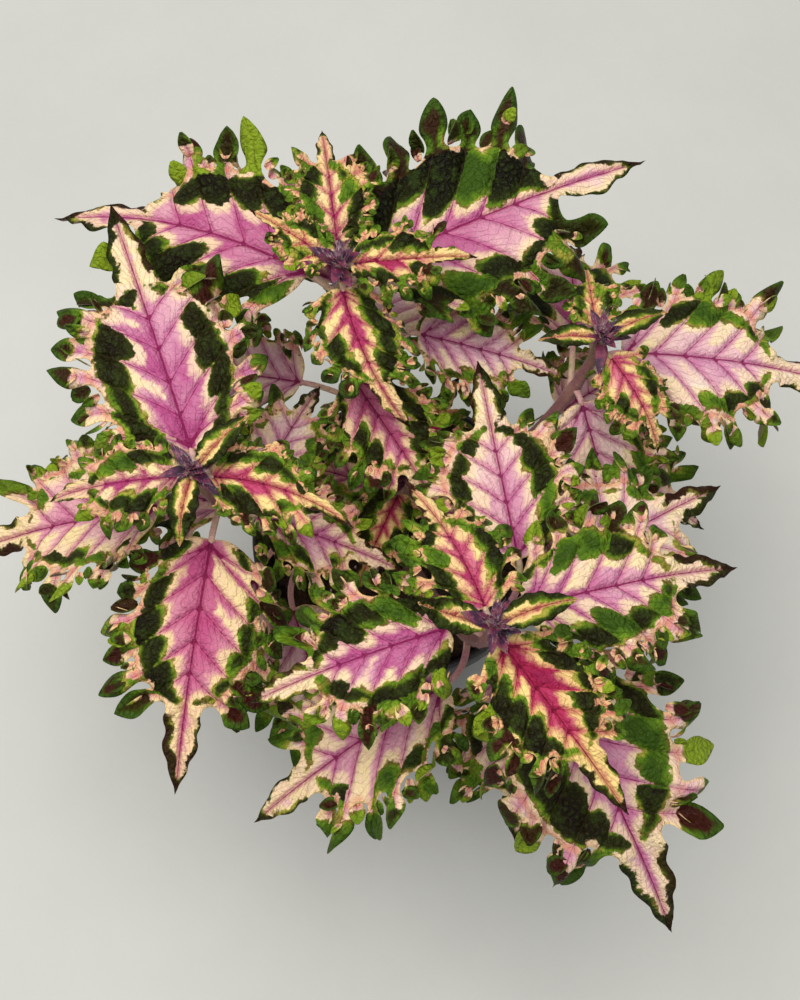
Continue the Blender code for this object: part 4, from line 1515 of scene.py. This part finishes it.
def green_colour(g):
    """Grass green with darker patches, flushed with bronze and maroon in places, and a painted highlight in
    the middle of each pillow of the dark parts.
    """
    deep = g.plus(g.plus(g.dark, g.jag), g.times(g.broad, 6.0))
    grass = g.ramp(
        g.times_plus(g.broad, 1.6, g.math("DIVIDE", g.ragged, 6.0)),
        [(0.0, (156, 152, 58)), (0.08, (108, 138, 30)), (0.35, (84, 116, 24)), (0.9, (54, 80, 16))],
    )
    patch = g.centred(0.21, 2.0)
    lime = g.times(g.step(g.maroon, 0.3, 0.95, 0.0, 0.8), g.step(deep, -8.0, -4.0, 1.0, 0.0))
    grass = g.mix(lime, grass, (136, 158, 34))
    bronze = g.times(g.step(g.ragged, 0.5, 2.2, 0.75, 0.0), g.step(patch, -0.08, 0.06))
    grass = g.mix(g.times(bronze, g.step(g.young, 0.3, 1.0, 1.0, 0.3)), grass, (112, 74, 40))
    shade = g.ramp(
        g.math("DIVIDE", deep, 9.0),
        [(0.0, (48, 62, 8)), (0.25, (26, 31, 3)), (0.8, (7, 8, 1))],
    )
    shade = g.mix(g.step(patch, 0.0, 0.16, 0.0, 0.55), shade, (46, 64, 16))
    # Painted highlight: lighter green in the middle of each pillow between the fine veins of the dark parts
    shade = g.mix(g.step(g.net, 0.08, 0.5, 0.0, 0.5), shade, (46, 58, 14))
    shade = g.mix(g.times(g.maroon, 0.95), shade, (58, 19, 14))
    return g.mix(g.step(deep, -0.7, 1.1), grass, shade)


def pink_colour(g):
    """Pink by the leaf's tone, from nearly white to magenta, and redder on a young leaf."""
    mature = g.ramp(
        g.plus(g.tone, g.times_plus(g.broad, 0.5, g.times(g.fine, 0.14))),
        [
            (0.02, (236, 214, 194)),
            (0.26, (222, 182, 182)),
            (0.50, (200, 142, 166)),
            (0.76, (174, 86, 134)),
            (1.0, (142, 38, 92)),
        ],
    )
    young = g.ramp(
        g.tone,
        [(0.1, (230, 160, 138)), (0.45, (210, 100, 112)), (0.75, (180, 50, 84)), (1.0, (130, 22, 56))],
    )
    return g.mix(g.times(g.young, 0.8), mature, young)


def core_colour(g):
    """Pink hugging the veins and cream between, cream beside the green, and salmon by the sinuses."""
    pale = g.mix(g.step(g.broad, -0.2, 0.2), (236, 216, 164), (232, 202, 176))
    pale = g.mix(g.times(g.young, 0.8), pale, (238, 208, 118))
    torn = g.times_plus(g.broad, 5.0, g.times_plus(g.jag, 1.5, g.cream))
    core = g.mix(g.step(torn, -1.3, 0.8), pink_colour(g), pale)
    beside = g.times(g.step(g.times_plus(g.broad, 5.5, g.ragged), -4.2, -0.6), 0.85)
    core = g.mix(beside, core, pale)
    glow = g.step(g.mark, 0.0, 2.0, 0.55, 0.0)
    core = g.mix(glow, core, g.by_age((178, 84, 136), (170, 40, 74)))
    near_sinus = g.step(g.times_plus(g.jag, 0.8, g.sinus), 1.0, 4.2, 0.95, 0.0)
    by_sinus = g.times(near_sinus, g.step(g.broad, -0.2, 0.1, 0.4, 1.0))
    core = g.mix(by_sinus, core, (208, 134, 110))
    return g.mix(g.step(g.edge, 0.2, 1.2, 0.6, 0.0), core, (228, 200, 132))


def chevrons(g):
    """Thin veins between the side veins, in rows that point outward."""
    drift = g.times_plus(g.middle, 0.9, g.phase)
    ridge = g.math("ABSOLUTE", g.minus(g.math("FRACT", drift), 0.5))
    return g.step(ridge, 0.44, 0.49)


def leaf_material():
    """The leaf: its core and green parts, its veins in three sizes, and pillows between the veins."""
    g = LeafGraph()
    chevron = chevrons(g)
    colour = g.mix(g.is_green, core_colour(g), green_colour(g))
    strength = g.times_plus(g.young, 0.25, 0.18)
    net = g.step(g.net, 0.01, 0.07, 1.0, 0.0)
    small_net = g.step(g.small_net, 0.02, 0.12, 1.0, 0.0)
    thin = g.math("MAXIMUM", g.times(chevron, strength), g.times(net, 0.17))
    thin = g.math("MAXIMUM", thin, g.times(small_net, 0.07))
    thin = g.times(thin, g.in_green(1.0, 1.6))
    vein_colour = g.mix(g.is_green, g.by_age((172, 62, 106), (146, 26, 52)), (30, 34, 14))
    colour = g.mix(thin, colour, vein_colour)
    main_vein = g.times(g.step(g.mark, -0.16, 0.14, 1.0, 0.0), g.in_green(0.92, 0.55))
    main_colour = g.mix(g.is_green, g.by_age((126, 24, 76), (112, 14, 44)), (62, 36, 28))
    colour = g.mix(main_vein, colour, main_colour)
    underside = g.mix(0.25, colour, (214, 168, 172))
    underside = g.mix(g.times(main_vein, 0.6), underside, (150, 60, 100))
    colour = g.mix(g.under, colour, underside)

    pillow = g.times(g.step(g.net, 0.0, 0.42), g.in_green(0.7, 1.3))
    height = g.times_plus(g.fine, 0.6, pillow)
    height = g.times_plus(g.step(g.small_net, 0.0, 0.4), 0.35, height)
    height = g.minus(height, g.times(chevron, 0.45))
    height = g.plus(height, g.step(g.mark, -0.2, 1.4, -0.9, 0.0))
    g.bump(height, 0.00040)
    return g.finish(colour, g.times_plus(g.fine, 0.16, g.in_green(0.52, 0.46)), specular=0.10)


def stem_material():
    """Square stems and stalks: brownish rose with some green, paler on the stalks, faintly rough."""
    g = Graph("coleus_stem")
    is_stalk = g.parts(g.attribute("stalk"))[0]
    place = g.object_place()
    broad = g.noise(place, 60.0, 3.0)
    fine = g.noise(place, 900.0, 3.0)
    stem = g.ramp(broad, [(0.25, (112, 74, 68)), (0.5, (150, 104, 100)), (0.75, (138, 128, 84))])
    stalk = g.ramp(broad, [(0.25, (198, 132, 150)), (0.5, (206, 164, 148)), (0.75, (176, 170, 112))])
    colour = g.mix(is_stalk, stem, stalk)
    colour = g.mix(g.step(fine, 0.45, 0.7, 0.0, 0.35), colour, (92, 40, 64))
    g.bump(g.plus(g.times(fine, 0.5), broad), 0.00025, 0.6)
    return g.finish(colour, g.times_plus(fine, 0.25, 0.38), specular=0.4)


def bud_material():
    """Bud leaves of the tuft: dark purple and wine red, with a little green."""
    g = Graph("coleus_bud")
    place = g.object_place()
    broad = g.noise(place, 220.0, 3.0)
    fine = g.noise(place, 1800.0, 2.0)
    colour = g.ramp(
        broad,
        [
            (0.30, (26, 8, 26)),
            (0.44, (62, 18, 52)),
            (0.56, (116, 36, 66)),
            (0.66, (98, 66, 62)),
            (0.76, (62, 78, 28)),
        ],
    )
    g.bump(fine, 0.0002, 0.8)
    return g.finish(colour, g.times_plus(fine, 0.3, 0.5))


def hair_material():
    """Short plant hairs, pale with mauve ones among them."""
    g = Graph("coleus_hair")
    place = g.object_place()
    colour = g.ramp(
        g.noise(place, 500.0, 2.0),
        [(0.3, (92, 50, 74)), (0.5, (142, 108, 126)), (0.7, (212, 200, 190))],
    )
    g.bump(g.noise(place, 3000.0, 2.0), 0.0001, 0.4)
    return g.finish(colour, g.times_plus(g.noise(place, 900.0), 0.3, 0.4))


def soil_material():
    """Damp peat soil: dark brown, with paler crumbs."""
    g = Graph("potting_soil")
    place = g.object_place()
    broad = g.noise(place, 120.0, 4.0, 0.65)
    fine = g.noise(place, 900.0, 5.0, 0.7)
    colour = g.ramp(
        g.times_plus(fine, 0.6, g.times(broad, 0.5)),
        [(0.3, (26, 19, 14)), (0.5, (52, 38, 27)), (0.66, (86, 64, 44)), (0.8, (120, 96, 68))],
    )
    grain = g.cells(place, 620.0)
    g.bump(g.plus(fine, g.times(grain, 0.7)), 0.0012, 1.0)
    return g.finish(colour, g.step(broad, 0.3, 0.7, 0.8, 0.97))


def perlite_material():
    """White foamed grains in the soil, lightly stained."""
    g = Graph("perlite")
    place = g.object_place()
    stain = g.noise(place, 500.0, 4.0, 0.7)
    colour = g.ramp(stain, [(0.3, (150, 136, 116)), (0.5, (214, 208, 196)), (0.7, (236, 233, 226))])
    g.bump(g.noise(place, 1600.0, 4.0), 0.0006, 1.0)
    return g.finish(colour, g.step(stain, 0.3, 0.7, 0.95, 0.8))


def pot_material():
    """Moulded nursery plastic: near black, finely grained, with dust and scuffs."""
    g = Graph("pot_plastic")
    place = g.object_place()
    broad = g.noise(place, 26.0, 4.0, 0.6)
    grain = g.noise(place, 1500.0, 3.0, 0.6)
    scuff = g.noise(place, 240.0, 6.0, 0.75)
    _, _, height = g.parts(place)
    dust = g.times(g.step(height, 0.0, 0.05, 0.5, 0.12), g.step(broad, 0.42, 0.7))
    colour = g.ramp(broad, [(0.3, (36, 37, 38)), (0.7, (52, 53, 53))])
    colour = g.mix(g.step(scuff, 0.60, 0.74, 0.0, 0.35), colour, (96, 95, 92))
    colour = g.mix(dust, colour, (112, 98, 80))
    g.bump(g.plus(grain, g.times(scuff, 0.6)), 0.00018, 0.7)
    return g.finish(colour, g.times_plus(scuff, 0.3, 0.36), specular=0.45)


def floor_material():
    """A plain pale floor with the faintest mottling."""
    g = Graph("pale_floor")
    place = g.object_place()
    tone = g.noise(place, 5.0, 6.0, 0.6)
    colour = g.ramp(tone, [(0.3, (191, 191, 185)), (0.7, (199, 199, 193))])
    g.bump(g.noise(place, 90.0, 6.0), 0.0015, 0.3)
    return g.finish(colour, 0.9)


# The pot and the soil


def revolve(name, profile, sides):
    """A solid turned about +Z from a profile of (radius, height) that starts and ends on the axis."""
    vertices = [(0, 0, profile[0][1])]
    for radius, height in profile[1:-1]:
        for k in range(sides):
            angle = 2 * math.pi * k / sides
            vertices.append((radius * math.cos(angle), radius * math.sin(angle), height))
    vertices.append((0, 0, profile[-1][1]))
    last = len(vertices) - 1
    faces = []
    rings = len(profile) - 2
    for k in range(sides):
        after = (k + 1) % sides
        faces.append((0, 1 + after, 1 + k))
        for ring in range(rings - 1):
            a, b = 1 + ring * sides + k, 1 + ring * sides + after
            faces.append((a, b, b + sides, a + sides))
        faces.append((last, 1 + (rings - 1) * sides + k, 1 + (rings - 1) * sides + after))
    return new_piece(name, vertices, faces, smooth=False)


def wall_inside(height):
    """The radius of the pot's inner wall at a height, below its rim."""
    share = height / (POT_HEIGHT - RIM_HEIGHT)
    return POT_FOOT_RADIUS + (POT_WALL_TOP_RADIUS - POT_FOOT_RADIUS) * share - POT_WALL


def arc(middle, radius, start, end, count=5):
    """Points on a quarter of a circle in a profile, in degrees."""
    angles = np.radians(np.linspace(start, end, count))
    return [(middle[0] + radius * math.cos(a), middle[1] + radius * math.sin(a)) for a in angles]


def pot_piece(material):
    """A nursery pot with a rounded stepped rim, two moulded lines and drain holes round its foot."""
    step = POT_HEIGHT - RIM_HEIGHT
    r = RIM_ROUND
    outer = RIM_RADIUS
    profile = [(0, 0.0016), (POT_FOOT_RADIUS - 0.006, 0.0016), (POT_FOOT_RADIUS - 0.0045, 0)]
    profile += arc((POT_FOOT_RADIUS - r, r), r, -90, 0)
    wall = POT_WALL_TOP_RADIUS - POT_FOOT_RADIUS
    for height, proud in ((0.020, 0), (0.0206, 0.0004), (0.0216, 0.0004), (0.0222, 0), (step - 0.004, 0)):
        profile.append((POT_FOOT_RADIUS + wall * height / step + proud, height))
    profile += arc((POT_WALL_TOP_RADIUS + r, step - r), r, 180, 90, 4)
    profile += arc((outer - 2 * r, step + r), r, -90, 0, 4)
    profile += [(outer - 0.0006, POT_HEIGHT - 3.2 * r), (outer, POT_HEIGHT - 3.0 * r)]
    profile += arc((outer - r * 0.9, POT_HEIGHT - r * 0.9), r * 0.9, 0, 180, 9)
    profile += [
        (outer - r - POT_WALL, POT_HEIGHT - 2 * r),
        (outer - 2 * r - POT_WALL, step + 2 * r),
        (wall_inside(step), step),
        (wall_inside(POT_FLOOR) + 0.0005, POT_FLOOR + 0.001),
        (wall_inside(POT_FLOOR) - 0.001, POT_FLOOR),
        (0, POT_FLOOR),
    ]
    body = revolve("nursery_pot", profile, 144)
    cutters = bpy.data.collections.new("drain_cutters")
    bpy.context.scene.collection.children.link(cutters)
    for k in range(DRAIN_HOLES):
        heading = 2 * math.pi * (k + 0.5) / DRAIN_HOLES
        ends = [
            np.array((reach * math.cos(heading), reach * math.sin(heading), DRAIN_LIFT))
            for reach in (POT_FOOT_RADIUS - DRAIN_REACH, POT_FOOT_RADIUS + DRAIN_REACH)
        ]
        points, faces = profile_tube(ends, [DRAIN_RADIUS] * 2, 24, lambda angle: 1.0)
        mesh = bpy.data.meshes.new("drain")
        mesh.from_pydata([tuple(p) for p in points], [], faces)
        cutters.objects.link(bpy.data.objects.new("drain", mesh))
    boolean = body.modifiers.new("drain", "BOOLEAN")
    boolean.operation = "DIFFERENCE"
    boolean.solver = "EXACT"
    boolean.operand_type = "COLLECTION"
    boolean.collection = cutters
    bpy.context.view_layer.update()
    graph = bpy.context.evaluated_depsgraph_get()
    mesh = bpy.data.meshes.new_from_object(body.evaluated_get(graph))
    body.modifiers.clear()
    body.data = mesh
    for helper in list(cutters.objects):
        bpy.data.objects.remove(helper)
    bpy.data.collections.remove(cutters)
    mesh.materials.clear()
    mesh.materials.append(material)
    mesh.shade_smooth()
    mesh.set_sharp_from_angle(angle=math.radians(40))
    return body


def soil_pieces(material, white):
    """The soil with a crumbly top, loose crumbs on it, and white grains."""
    draw = random.Random(SOIL_SEED)
    floor = POT_FLOOR + TOUCH_GAP
    edge = wall_inside(SOIL_EDGE) - TOUCH_GAP
    profile = [(0, floor), (wall_inside(floor) - TOUCH_GAP, floor)]
    profile += [(edge, SOIL_EDGE), (edge - 0.0004, SOIL_EDGE + 0.003)]
    profile += [(edge * ring / 37, SOIL_TOP) for ring in range(36, -1, -1)]
    body = revolve("soil_body", profile, 120)
    for vertex in body.data.vertices:
        if vertex.co.z > SOIL_EDGE + 0.001:
            x, y = vertex.co.x, vertex.co.y
            rough = noise.noise((x * 90, y * 90, 1.0)) + 0.6 * noise.noise((x * 320, y * 320, 4.0))
            fade = min(1.0, (edge - math.hypot(x, y)) / 0.006)
            vertex.co.z += SOIL_LUMP * rough * fade + 0.35 * SOIL_LUMP * noise.noise((x * 900, y * 900, 9.0))
    body.data.shade_smooth()
    body.data.materials.append(material)
    crumbs = grains("soil_crumbs", *CRUMBS, edge, draw, material)
    return [body, crumbs, grains("soil_perlite", *PERLITE, edge, draw, white)]


def grains(name, amount, least, largest, edge, draw, material):
    """Loose grains in one piece, strewn over the soil."""
    joined = Joined()
    for _ in range(amount):
        away = edge * 0.97 * math.sqrt(draw.random())
        angle = draw.uniform(0, 2 * math.pi)
        size = draw.uniform(least**0.5, largest**0.5) ** 2
        height = SOIL_TOP + draw.uniform(-0.3, 0.7) * size
        centre = np.array([away * math.cos(angle), away * math.sin(angle), height])
        joined.add(*crumb(centre, size, draw))
    return new_piece(name, joined.points, joined.faces, material, smooth=False)


PHI = (1 + 5**0.5) / 2
BALL = [
    (-1, PHI, 0), (1, PHI, 0), (-1, -PHI, 0), (1, -PHI, 0), (0, -1, PHI), (0, 1, PHI),
    (0, -1, -PHI), (0, 1, -PHI), (PHI, 0, -1), (PHI, 0, 1), (-PHI, 0, -1), (-PHI, 0, 1),
]
BALL_FACES = [
    (0, 11, 5), (0, 5, 1), (0, 1, 7), (0, 7, 10), (0, 10, 11),
    (1, 5, 9), (5, 11, 4), (11, 10, 2), (10, 7, 6), (7, 1, 8),
    (3, 9, 4), (3, 4, 2), (3, 2, 6), (3, 6, 8), (3, 8, 9),
    (4, 9, 5), (2, 4, 11), (6, 2, 10), (8, 6, 7), (9, 8, 1),
]


def crumb(centre, size, draw):
    """One irregular grain."""
    stretch = np.array([draw.uniform(0.6, 1.5), draw.uniform(0.6, 1.1), draw.uniform(0.5, 0.9)])
    turn = draw.uniform(0, math.pi)
    points = []
    for corner in BALL:
        x, y, z = np.array(corner) / 1.9 * stretch * draw.uniform(0.75, 1.2) * size
        points.append((
            centre[0] + x * math.cos(turn) - y * math.sin(turn),
            centre[1] + x * math.sin(turn) + y * math.cos(turn),
            centre[2] + z,
        ))
    return points, BALL_FACES


def main():
    """Build every piece, hang it on the root body and hide the node that it replaces, then set up the studio
    and the camera.
    """
    leaf, stem_paint = leaf_material(), stem_material()
    bud, hair = bud_material(), hair_material()
    for number, stem in enumerate(STEMS):
        pieces = [stem_piece(stem, number, stem_paint), *tuft_pieces(stem, number, bud, hair)]
        for order, grown in enumerate(stem.leaves):
            seed = 100 * number + order
            look = look_of(stem, order)
            blade = Blade(grown, seed, look.pinch)
            base = stalk_curve(stem, grown, blade, STALK_RINGS)[2]
            name = stem.name.replace("leafy_stem", "leaf") + f"_{order}"
            pieces.append(leaf_piece(name, blade, look, base, seed, leaf))
        for piece in pieces:
            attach(piece, "root")
            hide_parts(stem.name)
    for piece in soil_pieces(soil_material(), perlite_material()):
        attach(piece, "root")
        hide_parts("soil")
    pot = pot_piece(pot_material())
    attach(pot, "root")
    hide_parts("pot")
    studio()
    camera()


def studio():
    """A plain pale floor, soft light all round and one large soft light from the upper left."""
    half = FLOOR_HALF
    corners = [(-half, -half, 0), (half, -half, 0), (half, half, 0), (-half, half, 0)]
    floor = new_piece("floor", corners, [(0, 1, 2, 3)], floor_material(), smooth=False)
    world = bpy.data.worlds.new("studio")
    world.use_nodes = True
    sky = world.node_tree.nodes["Background"]
    sky.inputs["Color"].default_value = SKY_COLOUR
    sky.inputs["Strength"].default_value = SKY_STRENGTH
    bpy.context.scene.world = world
    light = bpy.data.lights.new("soft_key", "AREA")
    light.energy = KEY_POWER
    light.size = KEY_SIZE
    light.color = KEY_COLOUR
    key = bpy.data.objects.new("soft_key", light)
    key.location = KEY_PLACE
    key.rotation_euler = (Vector(KEY_AIM) - key.location).to_track_quat("-Z", "Y").to_euler()
    bpy.context.scene.collection.objects.link(key)
    bpy.context.scene.view_settings.view_transform = "Standard"


def camera():
    """The photograph's view: from in front and high above, steeply down."""
    rise = math.radians(VIEW_RISE)
    target = Vector(VIEW_TARGET)
    lens = bpy.data.cameras.new("photo_view")
    lens.lens = 50
    lens.sensor_width = 36
    lens.sensor_fit = "AUTO"
    view = bpy.data.objects.new("photo_view", lens)
    view.location = target + VIEW_DISTANCE * Vector((0, -math.cos(rise), math.sin(rise)))
    view.rotation_euler = (target - view.location).to_track_quat("-Z", "Y").to_euler()
    bpy.context.scene.collection.objects.link(view)
    bpy.context.scene.camera = view


main()
